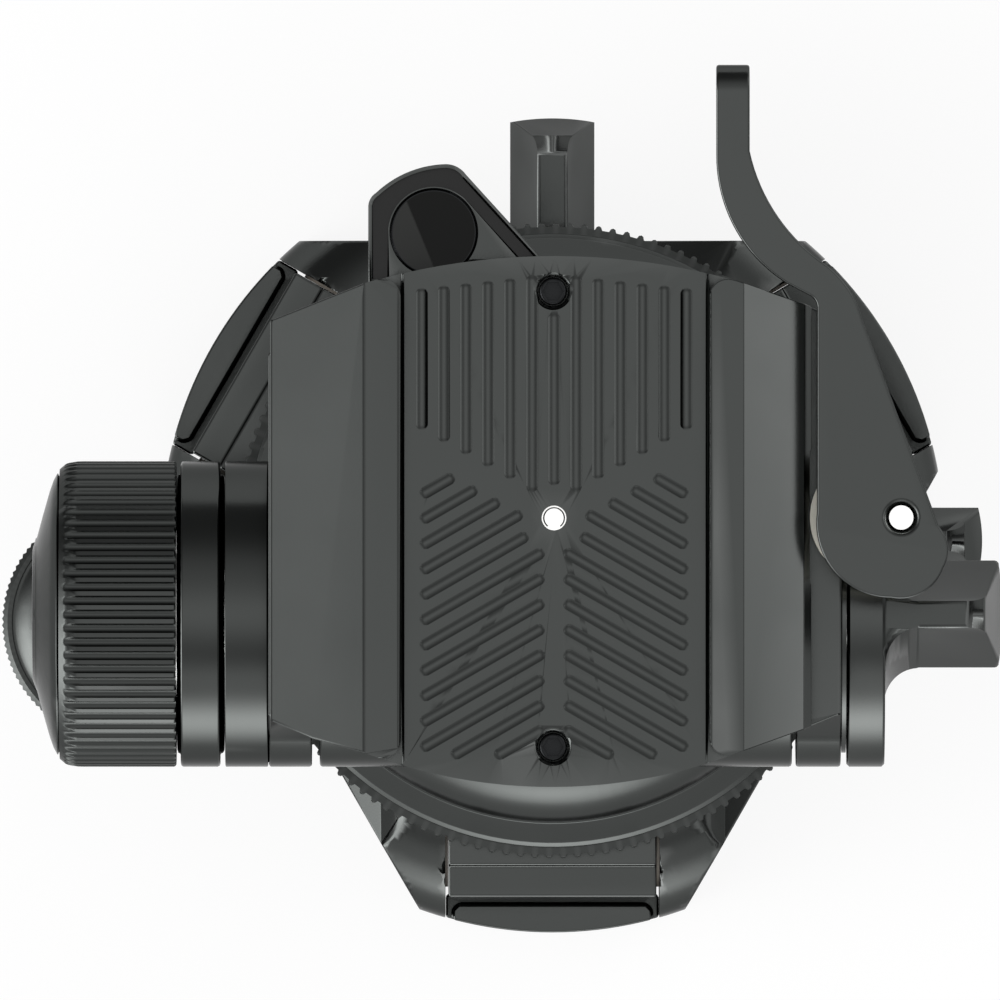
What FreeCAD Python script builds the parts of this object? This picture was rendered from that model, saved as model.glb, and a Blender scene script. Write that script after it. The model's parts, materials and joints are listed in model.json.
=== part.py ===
import FreeCAD, Part
import math
import os
from FreeCAD import Vector, Rotation, Placement

# Tilt head with a fluid pan and tilt, a lever clamp for a dovetail plate and a three-shouldered leg hub.
# Lengths are in millimetres. Z is the pan axis, z = 0 is the flat that the hub stands on, +Y is the front.

# Hub: a round casting cut by three flats, with a leg slot in each of its three arms.
hub_radius = 42.3
hub_flat = 32.3
hub_height = 35.0
hub_web_drop = 7.0
hub_drum_radius = 29.5
hub_floor = 10.0
arm_angles = (30.0, 150.0, 270.0)
arm_wall = 4.05
arm_bevel_width = 3.0
arm_bevel_drop = 2.0
arm_flank_width = 5.0
arm_round = 10.5
spigot_radius = 8.0
foot_thread_radius = 4.76
foot_insert_radius = 7.0
foot_insert_length = 8.8

# Leg tops: each turns on a pin across its slot and holds a leg tube in a socket.
leg_hinge_inset = 15.7
leg_hinge_drop = 15.8
leg_knuckle = 11.0
leg_half = 11.1
leg_pin_radius = 2.5
leg_pin_stand = 1.7
leg_washer_thickness = 0.3
leg_bottom = 4.0
leg_top_drop = 11.0
leg_web_drop = 17.3
leg_panel_inset = 3.0
leg_panel_step = 0.4
leg_panel_chamfer = 0.6
leg_guide_length = 3.95
leg_socket_radius = 8.5
leg_socket_length = 9.0

# Angle catches: push-in tabs above the leg tops, on rails in the slot's walls.
catch_inset = 3.9
catch_length = 14.4
catch_top_drop = 0.4
catch_thickness = 3.6
catch_step_length = 3.4
catch_step_drop = 1.0
catch_travel = 4.0
catch_rail_width = 1.4
catch_rail_height = 1.2
catch_rail_length = 9.5
catch_spring_radius = 1.05
catch_spring_pocket = 6.0

# Pan bearing: a spigot that drops into the hub, a toothed drag ring and a rotor on a bush.
flange_radius = 28.0
flange_height = 3.0
drum_radius = 15.9
drum_height = 5.65
post_radius = 5.0
post_height = 6.85
ring_tip = 34.2
ring_tooth_depth = 0.45
ring_teeth = 138
ring_chamfer = 0.5
rotor_radius = 33.0
rotor_top_radius = 30.4
rotor_height = 5.4
rotor_edge = 0.4
rotor_rim = 0.5
bush_wall = 2.55
friction_thickness = 0.4
friction_radius = 27.5
retainer_thickness = 1.15
pan_nut_across = 13.0
pan_nut_height = 4.5
rotor_screw_circle = 24.0
rotor_screw_radius = 1.5
rotor_screw_head = 1.9
rotor_screw_length = 11.0

# Tilt block: a dome that carries a barrel along the tilt axis.
tilt_axis_y = -7.83
tilt_axis_rise = 20.1
barrel_radius = 16.35
barrel_left = -24.92
barrel_right = 25.56
dome_radius = 30.2
dome_round = 10.5
dome_foot = 0.2
neck_half_x = 21.0
neck_half_y = 13.5
axle_radius = 5.0
axle_thread_radius = 4.0
cross_pin_radius = 1.25
cross_pin_half = 8.0

# Stations along the tilt axis, from the left knob to the right one.
knob_end = -55.65
knob_cap_edge = -52.9
knob_right = -40.26
collar_left = -39.78
collar_right = -35.56
housing_left = -35.02
cheek_left_outer = -30.35
cheek_left_inner = -25.77
cheek_right_inner = 25.99
cheek_right_outer = 30.78
lock_disc_left = 31.42
lock_disc_right = 35.46

# Left knob: a ribbed drum with a domed end, given as how far each point lies behind the end and inside the rim.
knob_dome = ((4.35, 0.1), (3.58, 0.25), (2.9, 0.85), (2.24, 2.05), (1.85, 3.15), (1.08, 5.85), (0.5, 8.0),
             (0.12, 8.95), (0.0, 9.15))
knob_wall = 2.75
knob_face = 1.9
knob_cap_depth = 1.0
knob_cap_lip = 0.8
knob_rib_count = 69
knob_rib_radius = 0.52
knob_rib_end = 3.3
bush_radius = 7.0
bush_flange = 2.5
spigot_inset = 1.5

# Drag unit between the left knob and the left cheek: a friction pack in its housing, pressed by two disc springs.
housing_wall = 2.25
housing_web = 0.63
drag_plate_thickness = 0.6
drag_plate_gap = 0.2
collar_well_inset = 3.85
disc_spring_inset = 4.75
disc_spring_cone = 0.45
disc_spring_thickness = 0.5

# Saddle and clamp: the tilting bridge with its two cheeks, and the clamp on top of it.
bridge_thickness = 2.5
bridge_right = 30.78
upright_rear = -18.6
upright_front = 20.0
clamp_plate = 4.0
clamp_front_crown = ((-20.2, 27.4), (0.0, 30.35), (19.6, 27.7))
clamp_rear_crown = ((20.4, -22.3), (0.0, -26.2), (-19.9, -22.6))
clamp_right_corners = ((26.9, 25.2), (30.8, 23.6), (30.8, -18.4), (26.9, -20.0))
clamp_left_corners = ((-25.7, -21.0), (-30.1, -19.1), (-30.1, 23.5))
jaw_height = 5.0
jaw_lip_left = -16.19
jaw_lip_right = 16.61
jaw_strip_left = -20.13
jaw_strip_right = 20.29
jaw_slope = 24.7
jaw_slope_end = -29.9
dovetail_width = 38.2
dovetail_band = 1.4
jaw_corner = 2.0
jaw_edge = 0.2
jaw_right = 27.5
jaw_ridge_right = 26.73
jaw_side_drop = 1.6
floor_relief = 0.2
floor_relief_set = 0.15
groove_depth = 0.17
groove_half = 0.66
groove_pitch = 2.348
groove_count = 13
chevron_pitch = 2.70
chevron_angle = 30.0
groove_left = -13.97
groove_front = 28.35
groove_front_step = 0.26
groove_rear = 5.2
groove_rear_step = 1.31
groove_clear = 2.2
chevron_rows = 14
chevron_front = 7.5
chevron_rear = -23.0
chevron_outer = 14.3
chevron_inner = 1.0
chevron_limit = 1.25
chevron_limit_slope = 0.541
chevron_pin_clear = 3.4
chevron_pin_inner = 2.7
screw_front_y = 26.6
screw_rear_y = -21.94
clamp_screw_radius = 1.5
clamp_screw_core = 1.25
clamp_screw_chamfer = 0.42
clamp_screw_set = 0.15
hex_across = 2.0
hex_depth = 1.8

# What guides the movable jaw and pushes it open, inside the clamp.
jaw_guide_rise = 2.0
jaw_pin_radius = 1.2
jaw_pin_offset = 14.0
jaw_pin_start = 10.0
jaw_pin_cover = 1.2
jaw_spring_bore = 1.4
jaw_spring_radius = 1.1
jaw_spring_offset = 9.0
jaw_spring_start = 14.0
jaw_spring_seat = 3.0

# Cam lever, at the right of the clamp.
pivot_x = 37.06
pivot_y = 2.5
lever_thickness = 4.0
lever_gap = 0.6
lever_tip_x = 19.15
lever_width = 3.55
lever_tip_y = 50.7
lever_tip_round = 2.9
lever_tip_fold = 2.5
lever_inner_sweep = ((41.2,), (19.5, 33.0), (24.9, 27.4))
lever_inner_corner = ((27.2, 26.2), (27.9, 25.6), (28.1, 24.7))
lever_heel = ((28.1, 3.0), (30.4, -3.8), (36.0, -6.05), (40.1, -5.0), (41.55, -2.9), (42.05, -0.7), (41.1, 1.5))
lever_outer_corner = ((32.9, 23.6), (31.1, 27.4), (28.63, 29.74))
lever_outer_sweep = ((23.24, 35.61), (41.5,))
lever_pin_radius = 1.25
lever_pin_body = 2.2
lever_pin_cover = 1.3
lever_pin_chamfer = 0.6
cam_radius = 6.75
cam_offset = 2.95
ear_radius = 3.4
ear_root = 4.0
ear_boss = 0.7

# Locating pin in the middle of the clamp's floor.
pin_x = 0.11
pin_y = 2.45
pin_radius = 1.17
pin_stand = 1.6
pin_flange_radius = 2.2
pin_flange_drop = 1.25
pin_flange_thickness = 0.8
pin_spring_floor = 0.5

# Level bracket, at the front left of the saddle: a rim, a channel behind it and a boss that holds the level.
level_x = -12.7
level_y = 32.9
level_radius = 4.72
level_ring = 0.25
level_boss_wall = 0.14
level_stand = 0.25
level_rim_stand = 0.2
level_channel_depth = 4.0
level_wall = 0.4
bracket_plate = 1.2
bracket_rear = 18.0
bracket_left = -19.69
bracket_right = -1.4
bracket_left_corner = ((-19.69, 35.76), (-19.45, 36.5), (-18.86, 37.11))
bracket_crown = ((-18.86, 37.11), (-15.5, 39.3), (-11.4, 40.17))
bracket_right_corner = ((-11.4, 40.17), (-10.2, 39.87), (-9.26, 39.04))
bracket_slant_end = 30.4
bracket_screw_x = (-15.0, -6.0)
bracket_screw_y = 22.0
bracket_screw_radius = 1.0
bracket_screw_head = 1.8
bracket_screw_sink = 1.1

# Handle mount under the left knob, with a knurled lock collar and a domed cap.
handle_x = -46.3
handle_y = -8.75
handle_drop = 10.85
handle_spindle = 8.0
handle_thread_radius = 4.0
handle_thread_length = 6.6
handle_collar_radius = 12.9
handle_collar_rise = 1.8
handle_collar_height = 3.4
handle_collar_chamfer = 0.6
handle_collar_teeth = 110
handle_knurl_depth = 0.2
handle_dome_radius = 11.9
handle_dome_height = 4.8
handle_arm_rise = 1.2
handle_arm_half = 5.0
handle_arm_right = -31.9

# Wing knobs: half width, half length, half of the ridge, reach, and the shape of the outer end.
wing_lock_half = 5.8
wing_lock_long = 15.2
wing_lock_ridge = 1.41
wing_lock_reach = 12.64
wing_lock_flare = 3.7
wing_pan_half = 3.62
wing_pan_long = 5.8
wing_pan_ridge = 1.07
wing_pan_reach = 11.65
wing_base_half = 4.63
wing_base_long = 9.0
wing_base_ridge = 1.6
wing_base_reach = 13.0
wing_end_fall = 1.9
wing_end_round = 2.2
wing_end_bulge = 0.45
wing_cover = 4.0
lock_disc_edge = 0.3
lock_insert_wall = 0.9
lock_insert_reach = 7.8
lock_shoe_length = 4.0
lock_screw_radius = 2.45
pan_screw_radius = 2.2
pan_shoe_reach = 1.0

# Clearances.
press = 0.02
running = 0.05
slide_gap = 0.1
body_gap = 0.3
side_gap = 0.35
washer_gap = 0.15

hub_web_top = hub_height - hub_web_drop
wing_base_height = hub_height / 2 + 0.5
spigot_depth = hub_height - hub_floor
leg_hinge_from_axis = hub_radius - leg_hinge_inset
leg_hinge_height = hub_height - leg_hinge_drop
leg_top_edge = hub_height - leg_top_drop
leg_web_top = hub_height - leg_web_drop
leg_panel_from_axis = hub_radius - leg_panel_inset
leg_guide_from_axis = hub_radius - leg_guide_length
leg_washer_radius = leg_knuckle - 2 * slide_gap
slot_half = leg_half + leg_washer_thickness + washer_gap
slot_floor = leg_hinge_from_axis - leg_knuckle - 2
arm_half = slot_half + arm_wall
leg_pin_half = arm_half + leg_pin_stand
catch_half = slot_half - side_gap
catch_outer = hub_radius - catch_inset
catch_inner = catch_outer - catch_length
catch_step_at = catch_outer - catch_step_length
catch_top = hub_height - catch_top_drop
catch_bottom = catch_top - catch_thickness
catch_rail_inner = catch_inner - 2
catch_rail_outer = catch_rail_inner + catch_rail_length
catch_rail_bottom = catch_bottom + 0.5
catch_spring_z = (catch_bottom + catch_top) / 2
ring_bottom = hub_height + body_gap
flange_top = hub_height + flange_height
rotor_bottom = flange_top + friction_thickness + slide_gap
ring_top = rotor_bottom - body_gap
rotor_top = rotor_bottom + rotor_height
wing_pan_height = (rotor_bottom + rotor_top) / 2
bush_outer = drum_radius + running + bush_wall
tilt_axis_z = rotor_top + tilt_axis_rise
bridge_bottom = tilt_axis_z + barrel_radius + side_gap
bridge_top = bridge_bottom + bridge_thickness
floor_z = bridge_top + clamp_plate
jaw_top = floor_z + jaw_height
jaw_guide_z = bridge_top + jaw_guide_rise
lever_bottom = floor_z + lever_gap
lever_top = lever_bottom + lever_thickness
jaw_wall_left = (jaw_lip_left + jaw_lip_right - dovetail_width) / 2
jaw_wall_right = jaw_wall_left + dovetail_width
flank_left = floor_z + dovetail_band + (jaw_lip_left - jaw_wall_left)
flank_right = floor_z + dovetail_band + (jaw_wall_right - jaw_lip_right)
level_rim = bridge_top + level_rim_stand
level_floor = level_rim - level_channel_depth
level_top = bridge_top - washer_gap
handle_bottom = tilt_axis_z - barrel_radius - handle_drop
handle_collar_bottom = handle_bottom + handle_collar_rise
handle_collar_top = handle_collar_bottom + handle_collar_height
knob_shoulder = knob_cap_edge + knob_cap_depth


def rod(radius, start, end):
    a, b = Vector(*start), Vector(*end)
    return Part.makeCylinder(radius, (b - a).Length, a, b - a)


def tube(outer, inner, start, end):
    return rod(outer, start, end).cut(rod(inner, start, end))


def box(x0, x1, y0, y1, z0, z1):
    return Part.makeBox(x1 - x0, y1 - y0, z1 - z0, Vector(x0, y0, z0))


def extruded(points, along):
    corners = [Vector(*p) for p in points]
    wire = Part.makePolygon(corners + corners[:1])
    return Part.Face(wire).extrude(Vector(*along))


def plate(points, z0, z1):
    return extruded([(x, y, z0) for x, y in points], (0, 0, z1 - z0))


def along_x(points, x0, x1):
    return extruded([(x0, y, z) for y, z in points], (x1 - x0, 0, 0))


def along_y(points, y0, y1):
    return extruded([(x, y0, z) for x, z in points], (0, y1 - y0, 0))


def turned_z(points, x=0.0, y=0.0):
    wire = Part.makePolygon([Vector(x + r, y, z) for r, z in points + points[:1]])
    return Part.Face(wire).revolve(Vector(x, y, 0), Vector(0, 0, 1), 360)


def turned_x(points, y=tilt_axis_y, z=tilt_axis_z):
    wire = Part.makePolygon([Vector(x, y, z + r) for x, r in points + points[:1]])
    return Part.Face(wire).revolve(Vector(0, y, z), Vector(1, 0, 0), 360)


def tilt_rod(radius, x0, x1):
    return rod(radius, (x0, tilt_axis_y, tilt_axis_z), (x1, tilt_axis_y, tilt_axis_z))


def tilt_tube(outer, inner, x0, x1):
    return tilt_rod(outer, x0, x1).cut(tilt_rod(inner, x0 - 1, x1 + 1))


def turned_about_pan(shape, angle):
    copy = shape.copy()
    copy.rotate(Vector(0, 0, 0), Vector(0, 0, 1), angle)
    return copy


def joined(shapes):
    shapes = list(shapes)
    return shapes[0].multiFuse(shapes[1:]).removeSplitter() if len(shapes) > 1 else shapes[0]


def save(name, *shapes):
    whole = shapes[0] if len(shapes) == 1 else Part.makeCompound(list(shapes))
    whole.exportStep("parts/" + name + ".step")
    return whole


def toothed(tooth, teeth, z0, z1, x=0.0, y=0.0):
    """A toothed disc: one tooth is a list of (share of the pitch, radius)."""
    pitch = 2 * math.pi / teeth
    points = []
    for n in range(teeth):
        for share, radius in tooth:
            angle = (n + share) * pitch
            points.append((x + radius * math.cos(angle), y + radius * math.sin(angle)))
    return plate(points, z0, z1)


def path_face(pieces, z):
    """A flat face bounded by lines (two points) and arcs (three points), given as (x, y) at height z."""
    edges = []
    for piece in pieces:
        points = [Vector(x, y, z) for x, y in piece]
        curve = Part.Arc(*points) if len(points) == 3 else Part.LineSegment(*points)
        edges.append(curve.toShape())
    return Part.Face(Part.Wire(Part.__sortEdges__(edges)))


def spring(start, end, radius, wire, turns):
    a, b = Vector(*start), Vector(*end)
    length = (b - a).Length - 2 * wire
    helix = Part.makeHelix(length / turns, length, radius)
    section = Part.Wire(Part.makeCircle(wire, Vector(radius, 0, 0), Vector(0, 1, 0)))
    coil = Part.Wire(helix.Edges).makePipeShell([section], True, True)
    turn = Rotation(Vector(0, 0, 1), b - a)
    lift = (b - a).normalize() * wire
    coil.Placement = Placement(a + lift, turn)
    return coil


def hex_bar(across, start, end):
    a, b = Vector(*start), Vector(*end)
    radius = across / math.sqrt(3)
    corners = []
    for n in range(6):
        angle = math.radians(60 * n + 30)
        corners.append((radius * math.cos(angle), radius * math.sin(angle), 0))
    bar = extruded(corners, (0, 0, (b - a).Length))
    bar.Placement = Placement(a, Rotation(Vector(0, 0, 1), b - a))
    return bar


def hub_outline(z0, z1):
    shape = rod(hub_radius, (0, 0, z0), (0, 0, z1))
    reach = 2 * hub_radius
    for angle in arm_angles:
        beyond = box(hub_flat, reach, -reach, reach, z0 - 1, z1 + 1)
        shape = shape.cut(turned_about_pan(beyond, angle + 60))
    return shape


def arm_crown():
    edge = arm_half + arm_bevel_width
    foot = edge + arm_flank_width
    low = hub_web_top - 1
    points = [(-foot, low), (-foot, hub_web_top), (-edge, hub_height - arm_bevel_drop), (-arm_half, hub_height),
              (arm_half, hub_height), (edge, hub_height - arm_bevel_drop), (foot, hub_web_top), (foot, low)]
    return along_x(points, 0, hub_radius + 1)


def edge_rounding():
    """What the round of the hub's upper edge takes away."""
    middle, z = hub_radius - arm_round, hub_height - arm_round
    beyond = tube(hub_radius + 1, middle, (0, 0, z), (0, 0, hub_height + 1))
    return beyond.cut(Part.makeTorus(middle, arm_round, Vector(0, 0, z)))


def make_hub():
    crowns = [turned_about_pan(arm_crown(), angle) for angle in arm_angles]
    drum = rod(hub_drum_radius, (0, 0, hub_web_top - 1), (0, 0, hub_height))
    body = joined([rod(hub_radius, (0, 0, 0), (0, 0, hub_web_top)), drum] + crowns)
    body = body.common(hub_outline(0, hub_height))
    cuts = [rod(spigot_radius + press, (0, 0, hub_height - spigot_depth), (0, 0, hub_height + 1)),
            rod(foot_insert_radius, (0, 0, -1), (0, 0, foot_insert_length)),
            rod(lock_screw_radius + running, (0, 0, wing_base_height), (0, hub_radius, wing_base_height)),
            edge_rounding()]
    for angle in arm_angles:
        slot = box(slot_floor, hub_radius + 2, -slot_half, slot_half, -1, hub_height + 1)
        pin = rod(leg_pin_radius, (leg_hinge_from_axis, -leg_pin_half, leg_hinge_height),
                  (leg_hinge_from_axis, hub_radius, leg_hinge_height))
        rail = catch_half + catch_rail_width + slide_gap
        groove = box(catch_rail_inner - catch_travel - body_gap, catch_rail_outer + body_gap, -rail, rail,
                     catch_rail_bottom - slide_gap, catch_rail_bottom + catch_rail_height + slide_gap)
        for cut in (slot, pin, groove):
            cuts.append(turned_about_pan(cut, angle))
    body = body.cut(cuts)
    return save("hub", body)


def make_foot_insert():
    insert = tube(foot_insert_radius, foot_thread_radius, (0, 0, 0), (0, 0, foot_insert_length))
    return save("foot_thread_insert", insert)


def make_leg_hardware():
    pins, washers = [], []
    x, z = leg_hinge_from_axis, leg_hinge_height
    for angle in arm_angles:
        pins.append(turned_about_pan(rod(leg_pin_radius, (x, -leg_pin_half, z), (x, leg_pin_half, z)), angle))
        for side in (-1, 1):
            outer, inner = side * slot_half, side * (slot_half - leg_washer_thickness)
            washer = tube(leg_washer_radius, leg_pin_radius, (x, inner, z), (x, outer, z))
            washers.append(turned_about_pan(washer, angle))
    save("leg_hinge_pins", *pins)
    save("leg_friction_washers", *washers)


def make_leg_top(number, angle):
    x, z = leg_hinge_from_axis, leg_hinge_height
    knuckle = rod(leg_knuckle, (x, -leg_half, z), (x, leg_half, z))
    lower = box(x - leg_knuckle + 0.5, hub_radius, -leg_half, leg_half, leg_bottom, leg_web_top)
    guide_half = slot_half - running
    guide = box(leg_guide_from_axis, hub_radius, -guide_half, guide_half, leg_bottom, leg_web_top)
    face, half = leg_panel_from_axis, leg_half - leg_panel_step
    set_back = face + leg_panel_chamfer
    panel = plate([(face, leg_panel_chamfer - half), (set_back, -half), (hub_radius, -half), (hub_radius, half),
                   (set_back, half), (face, half - leg_panel_chamfer)], leg_web_top - 1, leg_top_edge)
    body = joined([knuckle, lower, guide, panel])
    body = body.common(rod(hub_radius, (0, 0, 0), (0, 0, hub_height)))
    socket = rod(leg_socket_radius, (x, 0, leg_bottom - 1), (x, 0, leg_bottom + leg_socket_length))
    pin = rod(leg_pin_radius + running, (x, -leg_half - 1, z), (x, leg_half + 1, z))
    body = body.cut([socket, pin])
    save("leg_top_" + str(number), turned_about_pan(body, angle))


def make_catch(number, angle):
    body = box(catch_inner, catch_outer, -catch_half, catch_half, catch_bottom, catch_top)
    step_low, across = catch_top - catch_step_drop, catch_half + 1
    body = body.cut(box(catch_step_at, catch_outer + 1, -across, across, step_low, catch_top + 1))
    rail, rail_top = catch_half + catch_rail_width, catch_rail_bottom + catch_rail_height
    rails = box(catch_rail_inner, catch_rail_outer, -rail, rail, catch_rail_bottom, rail_top)
    middle = box(catch_rail_inner - 1, catch_inner, -catch_half + 2, catch_half - 2, catch_bottom - 1, catch_top)
    body = body.fuse(rails).cut(middle).removeSplitter()
    pocket = rod(catch_spring_radius + 0.45, (catch_inner - 1, 0, catch_spring_z),
                 (catch_inner + catch_spring_pocket, 0, catch_spring_z))
    body = body.cut(pocket)
    save("angle_catch_" + str(number), turned_about_pan(body, angle))


def make_catch_springs():
    springs = []
    end = catch_inner + catch_spring_pocket - slide_gap
    for angle in arm_angles:
        coil = spring((slot_floor, 0, catch_spring_z), (end, 0, catch_spring_z), catch_spring_radius, 0.2, 12)
        springs.append(turned_about_pan(coil, angle))
    save("catch_springs", *springs)


def make_pan_spigot():
    low, top = hub_height - spigot_depth, flange_top + drum_height
    points = [(0, low), (spigot_radius, low), (spigot_radius, hub_height), (flange_radius, hub_height),
              (flange_radius, flange_top), (drum_radius, flange_top), (drum_radius, top), (post_radius, top),
              (post_radius, top + post_height), (0, top + post_height)]
    save("pan_spigot", turned_z(points))
    washer = [(post_radius, top), (bush_outer - 0.9, top), (bush_outer - 0.9, top + retainer_thickness),
              (post_radius, top + retainer_thickness)]
    save("pan_retaining_washer", turned_z(washer))
    start = top + retainer_thickness
    nut = hex_bar(pan_nut_across, (0, 0, start), (0, 0, start + pan_nut_height))
    save("pan_nut", nut.cut(rod(post_radius, (0, 0, start - 1), (0, 0, start + pan_nut_height + 1))))
    disc_top = flange_top + friction_thickness
    save("pan_friction_disc", tube(friction_radius, drum_radius + 0.6, (0, 0, flange_top), (0, 0, disc_top)))


def make_pan_drag_ring():
    root, middle = ring_tip - ring_tooth_depth, ring_tip - ring_tooth_depth / 4
    tooth = ((0.0, root), (0.1, middle), (0.26, ring_tip), (0.42, middle), (0.52, root))
    ring = toothed(tooth, ring_teeth, ring_bottom, ring_top)
    bore, chamfer = flange_radius + slide_gap, ring_chamfer
    blank = turned_z([(bore, ring_bottom), (ring_tip, ring_bottom), (ring_tip, ring_top - chamfer),
                      (ring_tip - chamfer, ring_top), (bore, ring_top)])
    save("pan_drag_ring", ring.common(blank))


def rotor_screw_places():
    places = []
    for n in range(4):
        angle = math.radians(45 + 90 * n)
        places.append((rotor_screw_circle * math.cos(angle), rotor_screw_circle * math.sin(angle)))
    return places


def make_pan_rotor():
    low, edge, rim = rotor_bottom, rotor_edge, rotor_rim
    points = [(bush_outer, low), (rotor_radius - edge, low), (rotor_radius, low + edge),
              (rotor_radius, low + 2 * edge), (rotor_radius - rim, low + 2 * edge + rim),
              (rotor_top_radius, rotor_top), (bush_outer, rotor_top)]
    body = turned_z(points)
    cuts = [rod(pan_screw_radius + running, (0, 0, wing_pan_height), (hub_radius, 0, wing_pan_height))]
    head_top = rotor_bottom + slide_gap + rotor_screw_head
    for x, y in rotor_screw_places():
        cuts.append(rod(rotor_screw_radius, (x, y, rotor_bottom - 1), (x, y, rotor_top + 1)))
        cuts.append(rod(2 * rotor_screw_radius, (x, y, rotor_bottom - 1), (x, y, head_top)))
    save("pan_rotor", body.cut(cuts))
    inner = drum_radius + running
    bush = tube(bush_outer, inner, (0, 0, rotor_bottom), (0, 0, flange_top + drum_height - slide_gap))
    window = rod(pan_screw_radius + running, (0, 0, wing_pan_height), (hub_radius, 0, wing_pan_height))
    save("pan_bush", bush.cut(window))
    shoe_end = bush_outer + pan_shoe_reach
    shoe = rod(pan_screw_radius, (drum_radius + slide_gap, 0, wing_pan_height), (shoe_end, 0, wing_pan_height))
    save("pan_lock_shoe", shoe)


def make_rotor_screws():
    screws = []
    for x, y in rotor_screw_places():
        start = rotor_bottom + slide_gap
        shank = rod(rotor_screw_radius, (x, y, start), (x, y, rotor_bottom + rotor_screw_length))
        head = rod(2 * rotor_screw_radius - slide_gap, (x, y, start), (x, y, start + rotor_screw_head))
        socket = hex_bar(hex_across, (x, y, rotor_bottom), (x, y, start + 0.6 * rotor_screw_head))
        screws.append(shank.fuse(head).cut(socket).removeSplitter())
    save("rotor_screws", *screws)


def make_tilt_block():
    start, foot, top = rotor_top, dome_foot, dome_foot + dome_round
    centre, diagonal = dome_radius - dome_round, dome_round * math.cos(math.pi / 4)
    rim = (dome_radius, foot)
    profile = path_face([((0, 0), (dome_radius, 0)), ((dome_radius, 0), rim),
                         (rim, (centre + diagonal, foot + diagonal), (centre, top)),
                         ((centre, top), (0, top)), ((0, top), (0, 0))], 0)
    profile.Placement = Placement(Vector(0, 0, start), Rotation(Vector(1, 0, 0), 90))
    dome = profile.revolve(Vector(0, 0, 0), Vector(0, 0, 1), 360)
    rear, front = tilt_axis_y - neck_half_y, tilt_axis_y + neck_half_y
    neck = box(-neck_half_x, neck_half_x, rear, front, start + 1, tilt_axis_z)
    barrel = tilt_rod(barrel_radius, barrel_left, barrel_right)
    body = joined([dome, neck, barrel])
    pocket = barrel_radius + 2 * body_gap
    washer_top = flange_top + drum_height + retainer_thickness
    nut_room = pan_nut_across / math.sqrt(3) + 1
    cuts = [tilt_rod(pocket, cheek_right_inner - body_gap, hub_radius),
            tilt_rod(pocket, -hub_radius, cheek_left_inner + 2 * body_gap),
            tilt_rod(axle_radius, barrel_left - 1, barrel_right + 1),
            rod(bush_outer - 0.4, (0, 0, start - 1), (0, 0, washer_top + body_gap)),
            rod(nut_room, (0, 0, start), (0, 0, washer_top + pan_nut_height + 2)), cross_pin()]
    for x, y in rotor_screw_places():
        cuts.append(rod(rotor_screw_radius, (x, y, start - 1), (x, y, rotor_bottom + rotor_screw_length)))
    save("tilt_block", body.cut(cuts))


def cross_pin():
    low, high = tilt_axis_z - cross_pin_half, tilt_axis_z + cross_pin_half
    return rod(cross_pin_radius, (0, tilt_axis_y, low), (0, tilt_axis_y, high))


def make_tilt_axle():
    step = lock_disc_left - slide_gap
    axle = tilt_rod(axle_radius, knob_shoulder + slide_gap, step)
    thread = tilt_rod(axle_thread_radius, step, lock_disc_right + lock_insert_reach - body_gap)
    save("tilt_axle", axle.fuse(thread).removeSplitter().cut(cross_pin()))
    save("axle_cross_pin", cross_pin())
    start = cheek_right_outer + slide_gap
    save("tilt_lock_washer", tilt_tube(barrel_radius - spigot_inset, axle_radius, start, step))


def make_tilt_bushes():
    bore = axle_radius + running
    left = tilt_tube(bush_radius, bore, cheek_left_outer, cheek_left_inner)
    left_flange = tilt_tube(bush_radius + bush_flange, bore, cheek_left_inner, cheek_left_inner + 0.45)
    save("left_bush", left.fuse(left_flange).removeSplitter())
    right = tilt_tube(bush_radius, bore, cheek_right_inner, cheek_right_outer)
    right_flange = tilt_tube(bush_radius + bush_flange, bore, cheek_right_inner - 0.3, cheek_right_inner)
    save("right_bush", right.fuse(right_flange).removeSplitter())


def make_drag_unit():
    cavity = barrel_radius - housing_wall
    seat = tilt_rod(barrel_radius - 0.5, cheek_left_outer - 1, cheek_left_outer)
    housing = tilt_rod(barrel_radius, housing_left, cheek_left_outer - slide_gap).fuse(seat).removeSplitter()
    housing = housing.cut([tilt_rod(cavity, housing_left + housing_web, cheek_left_outer + 1),
                           tilt_rod(axle_radius + 0.6, housing_left - 1, cheek_left_outer)])
    save("drag_housing", housing)
    fixed, moving = [], []
    x = cheek_left_outer - 2 * drag_plate_gap
    for n in range(2):
        fixed.append(tilt_tube(cavity - 0.9, axle_radius, x - drag_plate_thickness, x))
        x -= drag_plate_thickness + drag_plate_gap
        moving.append(tilt_tube(cavity, axle_radius + 1.5, x - drag_plate_thickness, x))
        x -= drag_plate_thickness + drag_plate_gap
    save("drag_plates_fixed", *fixed)
    save("drag_plates_turning", *moving)
    well = collar_right - 1.5
    spigot = barrel_radius - spigot_inset
    collar = tilt_tube(barrel_radius, axle_radius, collar_left, collar_right)
    left = tilt_tube(spigot, axle_radius, knob_right + slide_gap, collar_left)
    right = tilt_tube(spigot, axle_radius, collar_right, housing_left - slide_gap)
    collar = joined([collar, left, right])
    save("drag_collar", collar.cut(tilt_rod(barrel_radius - collar_well_inset, knob_right - 1, well)))
    springs = []
    outer, inner = barrel_radius - disc_spring_inset, axle_radius + slide_gap
    thickness, cone = disc_spring_thickness, disc_spring_cone
    for right, lean in ((well, thickness), (well - 3 * thickness, -thickness)):
        springs.append(turned_x([(right - lean, inner), (right - lean - cone, inner), (right - cone, outer),
                                 (right, outer)]))
    save("drag_disc_springs", *springs)


def knob_dome_points():
    """Points (x, r) of the knob's domed end, from the rim to the flat in its middle."""
    return [(knob_end + back, barrel_radius - inset) for back, inset in knob_dome]


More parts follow.
